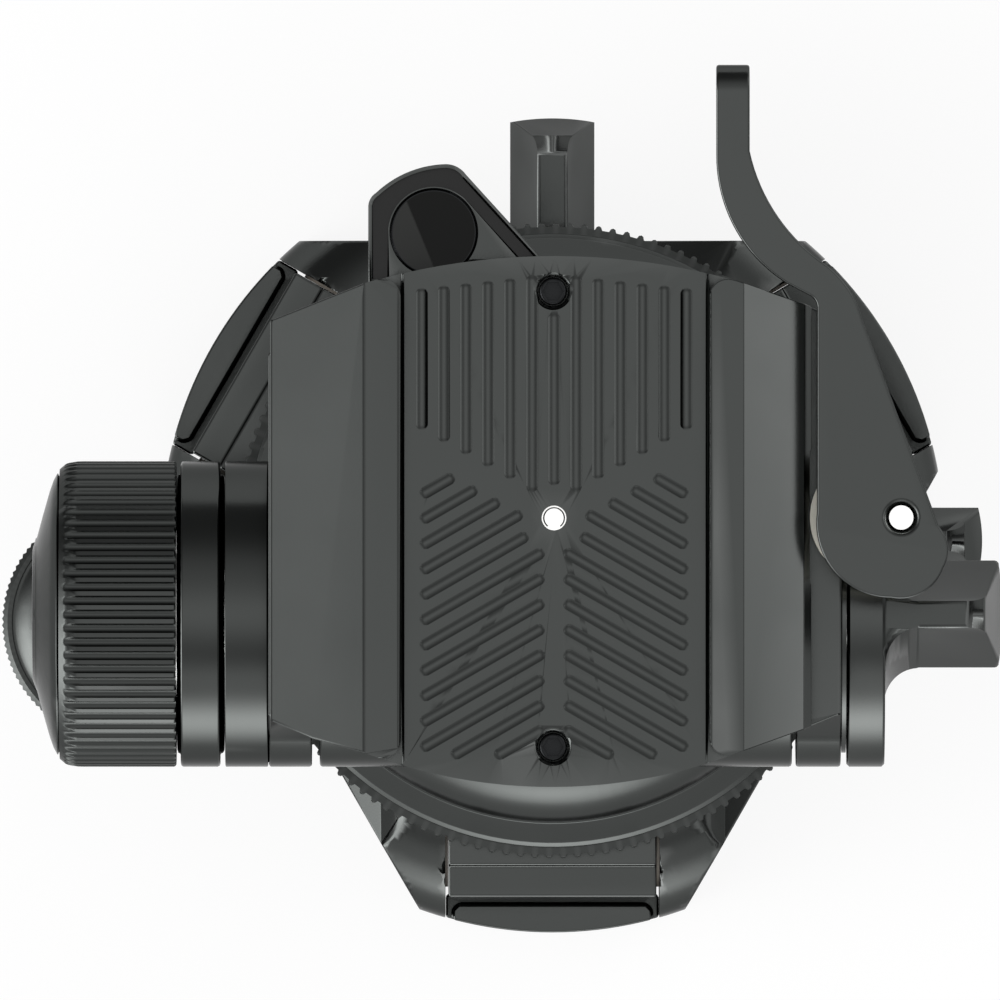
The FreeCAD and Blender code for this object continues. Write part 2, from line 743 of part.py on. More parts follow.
def make_drag_knob():
    r, edge = barrel_radius, 0.3
    dome = knob_dome_points()
    rim = [point for point in dome if point[0] > knob_cap_edge]
    lip = knob_cap_edge + washer_gap
    seat = rim[-1][1] - knob_cap_lip
    inner = r - knob_wall
    profile = [(knob_right, r - edge), (knob_right - edge, r), (knob_end + knob_dome[0][0] + 1, r)] + rim
    profile += [(lip, rim[-1][1] - 0.1), (lip, seat), (knob_shoulder, seat), (knob_shoulder, bush_radius),
                (knob_shoulder + knob_face, bush_radius), (knob_shoulder + knob_face, inner), (knob_right, inner)]
    body = turned_x(profile)
    cuts = []
    ribs = r + knob_rib_radius * 0.15
    for n in range(knob_rib_count):
        angle = 2 * math.pi * n / knob_rib_count
        y = tilt_axis_y + ribs * math.sin(angle)
        z = tilt_axis_z + ribs * math.cos(angle)
        cuts.append(rod(knob_rib_radius, (knob_end + knob_rib_end, y, z), (knob_right + 1, y, z)))
    save("drag_knob", body.cut(cuts))
    bore = axle_radius + running
    flange_x = collar_left - body_gap
    insert = tilt_tube(bush_radius, bore, knob_shoulder + slide_gap, flange_x)
    flange = tilt_tube(bush_radius + 2, bore, flange_x - 1.2, flange_x)
    save("drag_knob_insert", insert.fuse(flange).removeSplitter())
    outer = [point for point in dome if point[0] < knob_cap_edge]
    cap = [(knob_shoulder, 0), (knob_shoulder, seat - press), (knob_cap_edge, seat - press),
           (knob_cap_edge, rim[-1][1] - 0.25)] + outer + [(knob_end, 0)]
    save("drag_knob_cap", turned_x(cap))


def flare(half, ridge, long_half, radius):
    """The fillet that joins one flank of a wing to the disc under it, where x and y are positive."""
    along = Vector(ridge - half, long_half, 0).normalize()
    out = Vector(along.y, -along.x, 0)
    up = Vector(0, 0, 1)
    start = Vector(half, 0, 0) - along * radius
    low, high, back = start + out * radius, start + up * radius, start - out * 0.5
    middle = low + up * radius - (out + up).normalize() * radius
    edges = [Part.Arc(low, middle, high).toShape(), Part.LineSegment(high, back + up * radius).toShape(),
             Part.LineSegment(back + up * radius, back).toShape(), Part.LineSegment(back, low).toShape()]
    strip = Part.Face(Part.Wire(edges)).extrude(along * (long_half + 3 * radius))
    return strip.common(box(0, 2 * half + radius, 0, long_half, 0, radius))


def wing(half, long_half, reach, ridge, flare_radius):
    """A bar that stands on z = 0, long along Y. Its lobes taper to a ridge and its outer end falls to them."""
    outline = [(half, 0), (ridge, long_half), (-ridge, long_half), (-half, 0), (-ridge, -long_half),
               (ridge, -long_half)]
    bar = plate(outline, 0, reach)
    fall_start, round_end = long_half - wing_end_round, reach - wing_end_fall
    turn = wing_end_round * (1 - math.cos(math.pi / 4))
    side = []
    for sign in (-1, 1):
        tip, start = sign * long_half, sign * fall_start
        bend = (sign * (long_half - turn), round_end - turn)
        side += [((0, reach), (start, round_end)), ((start, round_end), bend, (tip, round_end - wing_end_round)),
                 ((tip, round_end - wing_end_round), (tip, 0))]
    side.append(((-long_half, 0), (long_half, 0)))
    ends = path_face(side, 0).extrude(Vector(0, 0, 4 * half))
    ends.Placement = Placement(Vector(-2 * half, 0, 0), Rotation(Vector(1, 1, 1), 120))
    low = reach - wing_end_bulge
    crown = path_face([((-half, 0), (half, 0)), ((half, 0), (half, low)), ((half, low), (0, reach), (-half, low)),
                       ((-half, low), (-half, 0))], 0).extrude(Vector(0, 0, 4 * long_half))
    crown.Placement = Placement(Vector(0, 2 * long_half, 0), Rotation(Vector(1, 0, 0), 90))
    bar = bar.common(ends).common(crown)
    if flare_radius > 0:
        quarter = flare(half, ridge, long_half, flare_radius)
        near = quarter.mirror(Vector(0, 0, 0), Vector(0, 1, 0))
        pair = [quarter, near]
        bar = joined([bar] + pair + [shape.mirror(Vector(0, 0, 0), Vector(1, 0, 0)) for shape in pair])
    return bar.common(rod(math.hypot(long_half, ridge), (0, 0, -1), (0, 0, reach + 1)))


def placed(shape, origin, z_to, y_to):
    """A copy whose own z and y axes point along the given directions, with its origin at the given point."""
    x_to = Vector(*y_to).cross(Vector(*z_to))
    matrix = FreeCAD.Matrix(x_to.x, y_to[0], z_to[0], origin[0],
                            x_to.y, y_to[1], z_to[1], origin[1],
                            x_to.z, y_to[2], z_to[2], origin[2], 0, 0, 0, 1)
    copy = shape.copy()
    copy.Placement = Placement(matrix)
    return copy


def make_tilt_lock():
    bar = wing(wing_lock_half, wing_lock_long, wing_lock_reach, wing_lock_ridge, wing_lock_flare)
    bar = placed(bar, (lock_disc_right, tilt_axis_y, tilt_axis_z), (1, 0, 0), (0, 0, 1))
    r, edge = barrel_radius, lock_disc_edge
    disc = turned_x([(lock_disc_left, 0), (lock_disc_left, r - edge), (lock_disc_left + edge, r),
                     (lock_disc_right - edge, r), (lock_disc_right, r - edge), (lock_disc_right, 0)])
    end = lock_disc_right + lock_insert_reach
    bore = axle_thread_radius + running
    insert_radius = bore + lock_insert_wall
    save("tilt_lock_knob", joined([disc, bar]).cut(tilt_rod(insert_radius, lock_disc_left - 1, end)))
    save("tilt_lock_insert", tilt_tube(insert_radius, bore, lock_disc_left, end))


def make_pan_lock():
    start = ring_tip + side_gap
    bar = wing(wing_pan_half, wing_pan_long, wing_pan_reach, wing_pan_ridge, 0)
    bar = placed(bar, (start, 0, wing_pan_height), (1, 0, 0), (0, 0, 1))
    tip = start + wing_pan_reach - wing_cover
    bore = rod(pan_screw_radius, (start - 1, 0, wing_pan_height), (tip, 0, wing_pan_height))
    save("pan_lock_knob", bar.cut(bore))
    screw_start = bush_outer + pan_shoe_reach + slide_gap
    save("pan_lock_screw", rod(pan_screw_radius, (screw_start, 0, wing_pan_height), (tip, 0, wing_pan_height)))


def make_base_lock():
    start = hub_flat + body_gap
    bar = wing(wing_base_half, wing_base_long, wing_base_reach, wing_base_ridge, 0)
    bar = placed(bar, (0, start, wing_base_height), (0, 1, 0), (0, 0, 1))
    tip = start + wing_base_reach - wing_cover
    bore = rod(lock_screw_radius, (0, start - 1, wing_base_height), (0, tip, wing_base_height))
    save("base_lock_knob", bar.cut(bore))
    height, shoe_end = wing_base_height, spigot_radius + lock_shoe_length
    save("base_lock_screw", rod(lock_screw_radius, (0, shoe_end + slide_gap, height), (0, tip, height)))
    save("base_lock_shoe", rod(lock_screw_radius, (0, spigot_radius + press, height), (0, shoe_end, height)))


def platform(z0, z1, right):
    """The clamp's outline seen from above, out to the given right edge."""
    pieces = [clamp_front_crown, clamp_rear_crown]
    right_side = (clamp_front_crown[-1],) + clamp_right_corners + (clamp_rear_crown[0],)
    left_side = (clamp_rear_crown[-1],) + clamp_left_corners + (clamp_front_crown[0],)
    for corners in (right_side, left_side):
        pieces += zip(corners, corners[1:])
    shape = path_face(pieces, z0).extrude(Vector(0, 0, z1 - z0))
    return shape.common(box(-hub_radius, right, -hub_radius, hub_radius, z0, z1))


def make_saddle():
    bridge = platform(bridge_bottom, bridge_top, bridge_right)
    left = tilt_rod(barrel_radius, cheek_left_outer, cheek_left_inner)
    right = tilt_rod(barrel_radius, cheek_right_inner, cheek_right_outer)
    rear, front = tilt_axis_y - barrel_radius, tilt_axis_y + barrel_radius
    upright = [(rear, tilt_axis_z), (upright_rear, bridge_bottom), (upright_rear, bridge_top),
               (upright_front, bridge_top), (upright_front, bridge_bottom), (front, tilt_axis_z)]
    left_upright = along_x(upright, cheek_left_outer, cheek_left_inner)
    right_upright = along_x(upright, cheek_right_inner, bridge_right)
    root = bridge_right - 2
    ear = plate([(root, pivot_y - ear_root), (pivot_x, pivot_y - ear_radius), (pivot_x, pivot_y + ear_radius),
                 (root, pivot_y + ear_root)], bridge_bottom, bridge_top)
    boss = rod(ear_radius, (pivot_x, pivot_y, bridge_bottom), (pivot_x, pivot_y, bridge_top + ear_boss))
    body = joined([bridge, left, right, left_upright, right_upright, ear, boss])
    cuts = [tilt_rod(bush_radius, cheek_left_outer - 1, cheek_left_inner + 1),
            tilt_rod(bush_radius, cheek_right_inner - 1, cheek_right_outer + 1),
            rod(lever_pin_body, (pivot_x, pivot_y, bridge_bottom - 1), (pivot_x, pivot_y, jaw_top)),
            rod(pin_flange_radius + slide_gap, (pin_x, pin_y, bridge_bottom + pin_spring_floor),
                (pin_x, pin_y, bridge_top + 1))]
    for y in (screw_front_y, screw_rear_y):
        cuts.append(rod(clamp_screw_core, (0, y, bridge_bottom - 1), (0, y, bridge_top + 1)))
    low, high = bridge_bottom - 1, bridge_top + 1
    cuts.append(rod(level_radius + body_gap, (level_x, level_y, low), (level_x, level_y, high)))
    y, top = bracket_screw_y, bracket_screw_top()
    for x in bracket_screw_x:
        cuts.append(rod(bracket_screw_radius, (x, y, low), (x, y, top)))
    save("saddle", body.cut(cuts))


def floor_groove(start, end):
    """A shallow groove with round ends, from one point of the floor to another."""
    a, b = Vector(*start, 0), Vector(*end, 0)
    along = (b - a).normalize()
    side = Vector(-along.y, along.x, 0) * groove_half
    tip = along * groove_half
    corners = [(p.x, p.y) for p in (a + side, b + side, b + tip, b - side, a - side, a - tip)]
    pieces = [corners[0:2], corners[1:4], corners[3:5], corners[4:6] + corners[0:1]]
    return path_face(pieces, floor_z - groove_depth).extrude(Vector(0, 0, 1))


def straight_grooves():
    """Axis ends of the grooves that run front to back, in the front half of the floor."""
    lines = []
    for n in range(groove_count):
        from_middle = abs(n - (groove_count - 1) // 2)
        front = groove_front - groove_front_step * (from_middle - 1)
        rear = groove_rear + groove_rear_step * (from_middle - 1)
        if from_middle == 0:
            front = screw_front_y - groove_clear
            rear = pin_y + groove_clear + pin_radius
        x = groove_left + groove_pitch * n
        lines.append(((x, front - groove_half), (x, rear + groove_half)))
    return lines


def slanted_grooves():
    """Axis ends of the slanted grooves, which climb from both sides to the middle of the floor."""
    lines = []
    middle = groove_left + groove_pitch * (groove_count - 1) / 2
    slope = math.tan(math.radians(chevron_angle))
    round_end = groove_half * math.cos(math.radians(chevron_angle))
    for n in range(chevron_rows):
        start = chevron_front - chevron_pitch * n
        meeting = (start + slope * chevron_outer - chevron_limit) / (slope + chevron_limit_slope)
        near = max(chevron_inner, meeting)
        if start + slope * (chevron_outer - near) > pin_y - chevron_pin_clear:
            near = max(near, chevron_pin_inner)
        far = min(chevron_outer, chevron_outer - (chevron_rear - start) / slope)
        near, far = near + round_end, far - round_end
        if far - near > groove_half:
            near_y, far_y = start + slope * (chevron_outer - near), start + slope * (chevron_outer - far)
            for side in (-1, 1):
                lines.append(((middle + side * near, near_y), (middle + side * far, far_y)))
    return lines


def lip_rounded(jaw, lip):
    """The jaw with the two upright corners of its lip rounded."""
    corners = [e for e in jaw.Edges if abs(e.BoundBox.XMin - lip) < 0.01 and e.BoundBox.ZLength > 1
               and e.BoundBox.XLength < 0.01 and e.BoundBox.YLength < 0.01]
    return jaw.makeFillet(jaw_corner, corners)


def make_clamp_body():
    plate_body = platform(bridge_top, floor_z, jaw_wall_right - body_gap)
    drop = (jaw_strip_left - jaw_slope_end) * math.tan(math.radians(jaw_slope))
    outside, edge = jaw_slope_end - 1, jaw_edge
    profile = [(outside, bridge_top + 1), (outside, jaw_top - drop - 0.25), (jaw_slope_end, jaw_top - drop),
               (jaw_strip_left, jaw_top), (jaw_lip_left - edge, jaw_top), (jaw_lip_left, jaw_top - edge),
               (jaw_lip_left, flank_left), (jaw_wall_left, floor_z + dovetail_band), (jaw_wall_left, floor_z),
               (jaw_wall_left + 1, bridge_top + 1)]
    jaw = lip_rounded(platform(bridge_top, jaw_top, jaw_lip_left), jaw_lip_left)
    body = joined([plate_body, jaw.common(along_y(profile, -hub_radius, hub_radius))])
    relief = floor_z - floor_relief
    pad_left, pad_right = jaw_lip_left + floor_relief_set, jaw_lip_right - floor_relief_set
    cuts = [box(jaw_wall_left, pad_left, -hub_radius, hub_radius, relief, floor_z + dovetail_band),
            box(pad_right, jaw_wall_right, -hub_radius, hub_radius, relief, floor_z + dovetail_band)]
    for start, end in straight_grooves() + slanted_grooves():
        cuts.append(floor_groove(start, end))
    body = body.cut(cuts)
    hole, chamfer = clamp_screw_radius + slide_gap, clamp_screw_chamfer
    holes = []
    for y in (screw_front_y, screw_rear_y):
        holes.append(rod(hole, (0, y, bridge_top - 1), (0, y, floor_z + 1)))
        holes.append(turned_z([(0, floor_z - chamfer), (hole, floor_z - chamfer), (hole + chamfer, floor_z),
                               (hole + chamfer, floor_z + 1), (0, floor_z + 1)], 0, y))
    holes.append(rod(pin_radius + washer_gap, (pin_x, pin_y, bridge_top - 1), (pin_x, pin_y, floor_z + 1)))
    holes.append(rod(pin_flange_radius + slide_gap, (pin_x, pin_y, bridge_top - 1),
                     (pin_x, pin_y, floor_z - pin_flange_drop + running)))
    z = jaw_guide_z
    for y in (-jaw_pin_offset, jaw_pin_offset):
        holes.append(rod(jaw_pin_radius, (jaw_pin_start, y, z), (hub_radius, y, z)))
    for y in (-jaw_spring_offset, jaw_spring_offset):
        holes.append(rod(jaw_spring_bore, (jaw_spring_start, y, z), (hub_radius, y, z)))
    save("clamp_body", body.cut(holes))


def make_jaw_hardware():
    pins, springs = [], []
    z, seat = jaw_guide_z, jaw_wall_right + jaw_spring_seat
    for y in (-jaw_pin_offset, jaw_pin_offset):
        pins.append(rod(jaw_pin_radius, (jaw_pin_start, y, z), (jaw_right - jaw_pin_cover, y, z)))
    for y in (-jaw_spring_offset, jaw_spring_offset):
        springs.append(spring((jaw_spring_start, y, z), (seat, y, z), jaw_spring_radius, 0.2, 9))
    save("jaw_guide_pins", *pins)
    save("jaw_springs", *springs)


def make_movable_jaw():
    drop = (jaw_ridge_right - jaw_strip_right) * math.tan(math.radians(jaw_slope))
    low, edge = bridge_top + slide_gap, jaw_edge
    profile = [(jaw_wall_right, low), (jaw_wall_right, floor_z + dovetail_band), (jaw_lip_right, flank_right),
               (jaw_lip_right, jaw_top - edge), (jaw_lip_right + edge, jaw_top), (jaw_strip_right, jaw_top),
               (jaw_ridge_right, jaw_top - drop), (jaw_right, jaw_top - drop - jaw_side_drop), (jaw_right, low)]
    whole = platform(low, jaw_top, jaw_right)
    jaw = whole.cut(box(-hub_radius, jaw_lip_right, -hub_radius, hub_radius, low - 1, jaw_top + 1))
    jaw = lip_rounded(jaw, jaw_lip_right).common(along_y(profile, -hub_radius, hub_radius))
    cam_x, clear = pivot_x - cam_offset, cam_radius + 2 * slide_gap
    notch_rear, notch_front = pivot_y - cam_radius - body_gap, pivot_y + cam_radius + body_gap
    z, spring_end = jaw_guide_z, jaw_wall_right + jaw_spring_seat
    cuts = [box(cam_x - clear, hub_radius, notch_rear, notch_front, low - 1, lever_bottom + slide_gap),
            rod(clear, (cam_x, pivot_y, low), (cam_x, pivot_y, jaw_top + 1))]
    for y in (-jaw_pin_offset, jaw_pin_offset):
        end = jaw_right - jaw_pin_cover + body_gap
        cuts.append(rod(jaw_pin_radius + running, (jaw_pin_start, y, z), (end, y, z)))
    for y in (-jaw_spring_offset, jaw_spring_offset):
        cuts.append(rod(jaw_spring_bore + running, (jaw_spring_start, y, z), (spring_end, y, z)))
    save("movable_jaw", jaw.cut(cuts))


def make_clamp_screws():
    screws = []
    for y in (screw_front_y, screw_rear_y):
        top, low, edge = floor_z - clamp_screw_set, bridge_bottom + slide_gap, 0.2
        r, core = clamp_screw_radius, clamp_screw_core
        body = turned_z([(0, low), (core, low), (core, bridge_top), (r, bridge_top), (r, top - edge),
                         (r - edge, top), (0, top)], 0, y)
        screws.append(body.cut(hex_bar(hex_across, (0, y, top - hex_depth), (0, y, top + 1))))
    save("clamp_screws", *screws)


def lever_outline():
    """The lever from above: its tip, swept arm, straight inner edge and the round heel about its pivot."""
    inside, outside = lever_tip_x - lever_width / 2, lever_tip_x + lever_width / 2
    sweep_start = (inside, lever_inner_sweep[0][0])
    sweep_end = (outside, lever_outer_sweep[-1][0])
    heel = lever_heel
    corner, outer = lever_inner_corner, lever_outer_corner
    tip_inside, tip_outside = (inside, lever_tip_y), (outside, lever_tip_y)
    inner_sweep = (sweep_start,) + lever_inner_sweep[1:]
    outer_sweep = (outer[-1], lever_outer_sweep[0], sweep_end)
    return [(tip_inside, sweep_start), inner_sweep, (inner_sweep[-1], corner[0]), corner, (corner[-1], heel[0]),
            heel[0:3], heel[2:5], heel[4:7], (heel[-1], outer[0]), outer, outer_sweep, (sweep_end, tip_outside),
            (tip_outside, tip_inside)]


def make_lever():
    body = path_face(lever_outline(), lever_bottom).extrude(Vector(0, 0, lever_thickness))
    inside, outside = lever_tip_x - lever_width / 2, lever_tip_x + lever_width / 2
    fold = box(inside, outside, lever_tip_y - 2.4, lever_tip_y, lever_bottom - lever_tip_fold, lever_bottom + 1)
    body = joined([body, fold])
    tip_edges = []
    for edge in body.Edges:
        space = edge.BoundBox
        if abs(space.ZMin - lever_top) < 0.01 and abs(space.YMin - lever_tip_y) < 0.01 and space.YLength < 0.01:
            tip_edges.append(edge)
    body = body.makeFillet(lever_tip_round, tip_edges)
    x, y = pivot_x, pivot_y
    wide, narrow, chamfer = lever_pin_body + running, lever_pin_radius + running, lever_pin_chamfer
    pin = [rod(wide, (x, y, lever_bottom - 1), (x, y, lever_top - lever_pin_cover + slide_gap)),
           rod(narrow, (x, y, lever_bottom), (x, y, lever_top + 1)),
           turned_z([(0, lever_top - chamfer), (narrow, lever_top - chamfer), (narrow + chamfer, lever_top),
                     (narrow + chamfer, lever_top + 1), (0, lever_top + 1)], x, y)]
    save("cam_lever", body.cut(pin))
    low = bridge_top + ear_boss + slide_gap
    cam = rod(cam_radius, (x - cam_offset, y, low), (x - cam_offset, y, lever_bottom))
    cam = cam.common(box(x - 2 * cam_radius, x, y - cam_radius, y + cam_radius, low, lever_bottom))
    cam = joined([cam, rod(ear_radius, (x, y, low), (x, y, lever_bottom))])
    save("lever_cam", cam.cut(rod(wide, (x, y, low - 1), (x, y, lever_bottom + 1))))
    shoulder = lever_top - lever_pin_cover
    foot = bridge_bottom + slide_gap
    points = [(0, foot), (lever_pin_body, foot), (lever_pin_body, shoulder), (lever_pin_radius, shoulder),
              (lever_pin_radius, lever_top), (0, lever_top)]
    save("lever_pivot_pin", turned_z(points, x, y))


def make_locating_pin():
    top, edge = floor_z + pin_stand, 0.15
    flange_top_z = floor_z - pin_flange_drop
    flange_low = flange_top_z - pin_flange_thickness
    points = [(0, flange_low), (pin_flange_radius, flange_low), (pin_flange_radius, flange_top_z),
              (pin_radius, flange_top_z), (pin_radius, top - edge), (pin_radius - edge, top), (0, top)]
    save("locating_pin", turned_z(points, pin_x, pin_y))
    coil = spring((pin_x, pin_y, bridge_bottom + pin_spring_floor), (pin_x, pin_y, flange_low), 1.6, 0.22, 4)
    save("pin_spring", coil)


def bracket_outline():
    """The level bracket's outline, from its left edge over its round front to its slanted right edge."""
    rear = clamp_front_crown[0][1]
    left, right = (bracket_left, rear), (bracket_right, rear)
    slant_end = (bracket_right, bracket_slant_end)
    return [(left, bracket_left_corner[0]), bracket_left_corner, bracket_crown, bracket_right_corner,
            (bracket_right_corner[-1], slant_end), (slant_end, right), (right, left)]


def level_boss(z0, z1):
    """The bracket's raised middle: round about the level in front, with two straight sides that run back."""
    radius = level_radius + level_boss_wall
    corner = Vector(*bracket_right_corner[-1], 0)
    slant = (Vector(bracket_right, bracket_slant_end, 0) - corner).normalize()
    touch = Vector(level_x, level_y, 0) + Vector(-slant.y, slant.x, 0) * radius
    far = touch + slant * (2 * barrel_radius)
    sides = plate([(level_x, level_y), (level_x - radius, level_y), (level_x - radius, far.y), (far.x, far.y),
                   (touch.x, touch.y)], z0, z1)
    return sides.fuse(rod(radius, (level_x, level_y, z0), (level_x, level_y, z1)))


def bracket_screw_top():
    return bridge_top - 0.6


def make_level():
    floor = level_floor - bracket_plate
    outline = path_face(bracket_outline(), floor)
    rim = outline.extrude(Vector(0, 0, level_rim - floor))
    inner = outline.makeOffset2D(-level_wall).extrude(Vector(0, 0, level_rim + 1 - floor))
    channel = inner.common(box(-hub_radius, hub_radius, 0, hub_radius, level_floor, level_rim + 1))
    boss = level_boss(floor, level_top - level_stand).common(inner)
    tongue = box(bracket_left, bracket_right, bracket_rear, clamp_front_crown[0][1] + 0.5, floor, bridge_bottom)
    body = joined([rim.cut(channel), boss, tongue])
    body = body.cut(platform(bridge_bottom, level_rim + 1, bridge_right))
    x, y, base = level_x, level_y, floor + bracket_plate / 2
    cuts = [rod(level_radius + press, (x, y, base), (x, y, level_rim + 1))]
    screws = []
    for screw_x in bracket_screw_x:
        low, head, top = (screw_x, bracket_screw_y, floor), floor + bracket_screw_sink, bracket_screw_top()
        start = (screw_x, bracket_screw_y, floor - 1)
        cuts.append(rod(bracket_screw_radius, start, (screw_x, bracket_screw_y, bridge_bottom + 1)))
        cuts.append(rod(bracket_screw_head + slide_gap, start, (screw_x, bracket_screw_y, head)))
        shank = rod(bracket_screw_radius, low, (screw_x, bracket_screw_y, top))
        screws.append(shank.fuse(rod(bracket_screw_head, low, (screw_x, bracket_screw_y, head))).removeSplitter())
    save("level_bracket", body.cut(cuts))
    save("bracket_screws", *screws)
    outer, ring = level_radius, level_ring
    inside, bottom = outer - ring - slide_gap, base + 2 * body_gap
    save("level_cup", turned_z([(0, base), (outer, base), (outer, level_top - ring), (outer - ring, level_top),
                                (inside, level_top), (inside, bottom), (0, bottom)], x, y))
    save("level_lens", turned_z([(0, bottom), (inside, bottom), (inside, level_top), (0, level_top)], x, y))


def make_handle_mount():
    x, y = handle_x, handle_y
    dome_bottom = handle_collar_top + slide_gap
    dome_top = handle_collar_top + handle_dome_height
    r, edge = handle_dome_radius, 0.4
    profile = [(0, handle_bottom), (handle_spindle - edge, handle_bottom), (handle_spindle, handle_bottom + edge),
               (handle_spindle, dome_bottom), (r, dome_bottom)]
    steps = 7
    for n in range(1, steps + 1):
        angle = math.pi / 2 * n / steps
        profile.append((r * math.cos(angle), dome_bottom + (dome_top - dome_bottom) * math.sin(angle)))
    body = turned_z(profile, x, y)
    arm_bottom = handle_collar_top + handle_arm_rise
    rear, front = y - handle_arm_half, y + handle_arm_half
    arm = box(x, handle_arm_right, rear, front, arm_bottom, dome_top)
    lug = box(housing_left, handle_arm_right, rear, front, arm_bottom, tilt_axis_z - barrel_radius + 1)
    body = joined([body, arm, lug]).cut(tilt_rod(barrel_radius, housing_left - edge, cheek_left_outer))
    thread_end = handle_bottom + handle_thread_length
    save("handle_mount", body.cut(rod(handle_thread_radius, (x, y, handle_bottom - 1), (x, y, thread_end))))
    r, low, top = handle_collar_radius, handle_collar_bottom, handle_collar_top - slide_gap
    chamfer = handle_collar_chamfer
    collar = toothed(((0.0, r - handle_knurl_depth), (0.5, r)), handle_collar_teeth, low, top, x, y)
    blank = turned_z([(handle_spindle, low), (r - chamfer, low), (r, low + chamfer), (r, top - chamfer),
                      (r - chamfer, top), (handle_spindle, top)], x, y)
    bore = rod(handle_spindle + running, (x, y, handle_bottom), (x, y, dome_top))
    save("handle_lock_collar", collar.common(blank).cut(bore))


def main():
    os.makedirs("parts", exist_ok=True)
    make_hub()
    make_foot_insert()
    make_leg_hardware()
    for number, angle in enumerate(arm_angles, 1):
        make_leg_top(number, angle)
        make_catch(number, angle)
    make_catch_springs()
    make_pan_spigot()
    make_pan_drag_ring()
    make_pan_rotor()
    make_rotor_screws()
    make_tilt_block()
    make_tilt_axle()
    make_tilt_bushes()
    make_drag_unit()
    make_drag_knob()
    make_tilt_lock()
    make_pan_lock()
    make_base_lock()
    make_saddle()
    make_clamp_body()
    make_clamp_screws()
    make_movable_jaw()
    make_jaw_hardware()
    make_lever()
    make_locating_pin()
    make_level()
    make_handle_mount()


main()
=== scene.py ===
# %% [markdown]
# # A fluid tilt head, dressed over its CAD frame
# The head is already built as solids: every piece has its place, its size and the body it moves with.
# This lesson gives each piece the skin and the finish of the real one.
# Turned and milled aluminium is most of it, so edges, reflections and small repeated cuts matter most.

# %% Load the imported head
import json
import math

import bmesh
import bpy
from mathutils import Matrix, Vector
from mathutils.bvhtree import BVHTree


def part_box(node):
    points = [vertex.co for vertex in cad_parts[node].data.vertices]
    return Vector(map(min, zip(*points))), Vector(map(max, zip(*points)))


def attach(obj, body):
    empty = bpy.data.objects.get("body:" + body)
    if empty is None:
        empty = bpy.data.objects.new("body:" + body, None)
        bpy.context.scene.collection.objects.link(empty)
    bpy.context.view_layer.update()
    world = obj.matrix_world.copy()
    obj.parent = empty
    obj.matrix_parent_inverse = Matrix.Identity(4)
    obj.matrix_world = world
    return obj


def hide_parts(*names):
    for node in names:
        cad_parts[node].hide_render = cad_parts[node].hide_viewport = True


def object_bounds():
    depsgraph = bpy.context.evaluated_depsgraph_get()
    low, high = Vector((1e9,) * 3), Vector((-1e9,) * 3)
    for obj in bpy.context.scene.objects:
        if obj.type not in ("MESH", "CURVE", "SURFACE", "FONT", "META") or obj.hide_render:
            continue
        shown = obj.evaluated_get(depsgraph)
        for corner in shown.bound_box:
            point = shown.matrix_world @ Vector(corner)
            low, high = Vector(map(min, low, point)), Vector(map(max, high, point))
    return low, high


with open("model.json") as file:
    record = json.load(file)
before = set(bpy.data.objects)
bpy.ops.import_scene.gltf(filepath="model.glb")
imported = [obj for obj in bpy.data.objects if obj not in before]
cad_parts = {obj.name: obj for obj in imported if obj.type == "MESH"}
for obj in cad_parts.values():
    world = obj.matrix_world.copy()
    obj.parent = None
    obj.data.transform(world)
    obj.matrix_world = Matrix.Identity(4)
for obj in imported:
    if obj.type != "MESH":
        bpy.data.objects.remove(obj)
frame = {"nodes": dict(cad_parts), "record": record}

cad_low, cad_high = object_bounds()
MM = 0.001
BODY_OF = {node: body for body, nodes in frame["record"]["behaviour"]["bodies"].items() for node in nodes}
SLOT_OF = {part["node"]: part["material_slot"] for part in frame["record"]["subparts"]}
print("nodes:", len(frame["nodes"]), "box in mm:", [round(v / MM, 1) for v in (*cad_low, *cad_high)])

# %% [markdown]
# ## Finishes
# A node material is a small circuit. One helper adds a node, sets it and plugs it in, so that each
# recipe below reads as a list of what the surface has: its metal, its grain and its wear.
# Colours are written as the hex values a screen shows, and one function turns them into light.


# %% Colour and node helpers
def light(hex_colour):
    """The linear red, green, blue and alpha of a screen colour such as #444645."""
    parts = [int(hex_colour[n:n + 2], 16) / 255 for n in (1, 3, 5)]
    return [p / 12.92 if p <= 0.04045 else ((p + 0.055) / 1.055) ** 2.4 for p in parts] + [1.0]


def add(tree, kind, feed=None, **settings):
    """Adds a node, sets its own settings and fills its sockets with values or with other sockets."""
    made = tree.nodes.new(kind)
    for name, value in settings.items():
        setattr(made, name, value)
    for name, value in (feed or {}).items():
        if isinstance(value, bpy.types.NodeSocket):
            tree.links.new(value, made.inputs[name])
        else:
            made.inputs[name].default_value = value
    return made


def start_finish(name):
    finish = bpy.data.materials.new(name)
    finish.use_nodes = True
    tree = finish.node_tree
    tree.nodes.clear()
    place = add(tree, "ShaderNodeTexCoord").outputs["Object"]
    return finish, tree, place


def end_finish(tree, surface):
    add(tree, "ShaderNodeOutputMaterial", {"Surface": surface.outputs[0]})


print("a mid grey in light:", [round(v, 3) for v in light("#808080")])

# %% [markdown]
# ### Anodised aluminium, bead-blasted and turned
# The head's grey is a dyed oxide skin over metal. It mirrors the studio softly, as metal does, and has no
# gloss coat of its own. Light that grazes the skin runs a longer way through the dye, so the glancing reflection
# is tinted down to half. Grey plastic under a clear coat would be simpler, but its rims turn white.
# Glass beads of about 0.1 mm leave a grain that a lens hardly resolves, so the grain here is 0.22 mm, twice as
# coarse, to show at all. The dye bath colours the skin in clouds about a centimetre wide. Handling polishes the
# sharp edges a little lighter. Cut faces keep the cutter's fine rings, which lie across the axis of a turned piece.


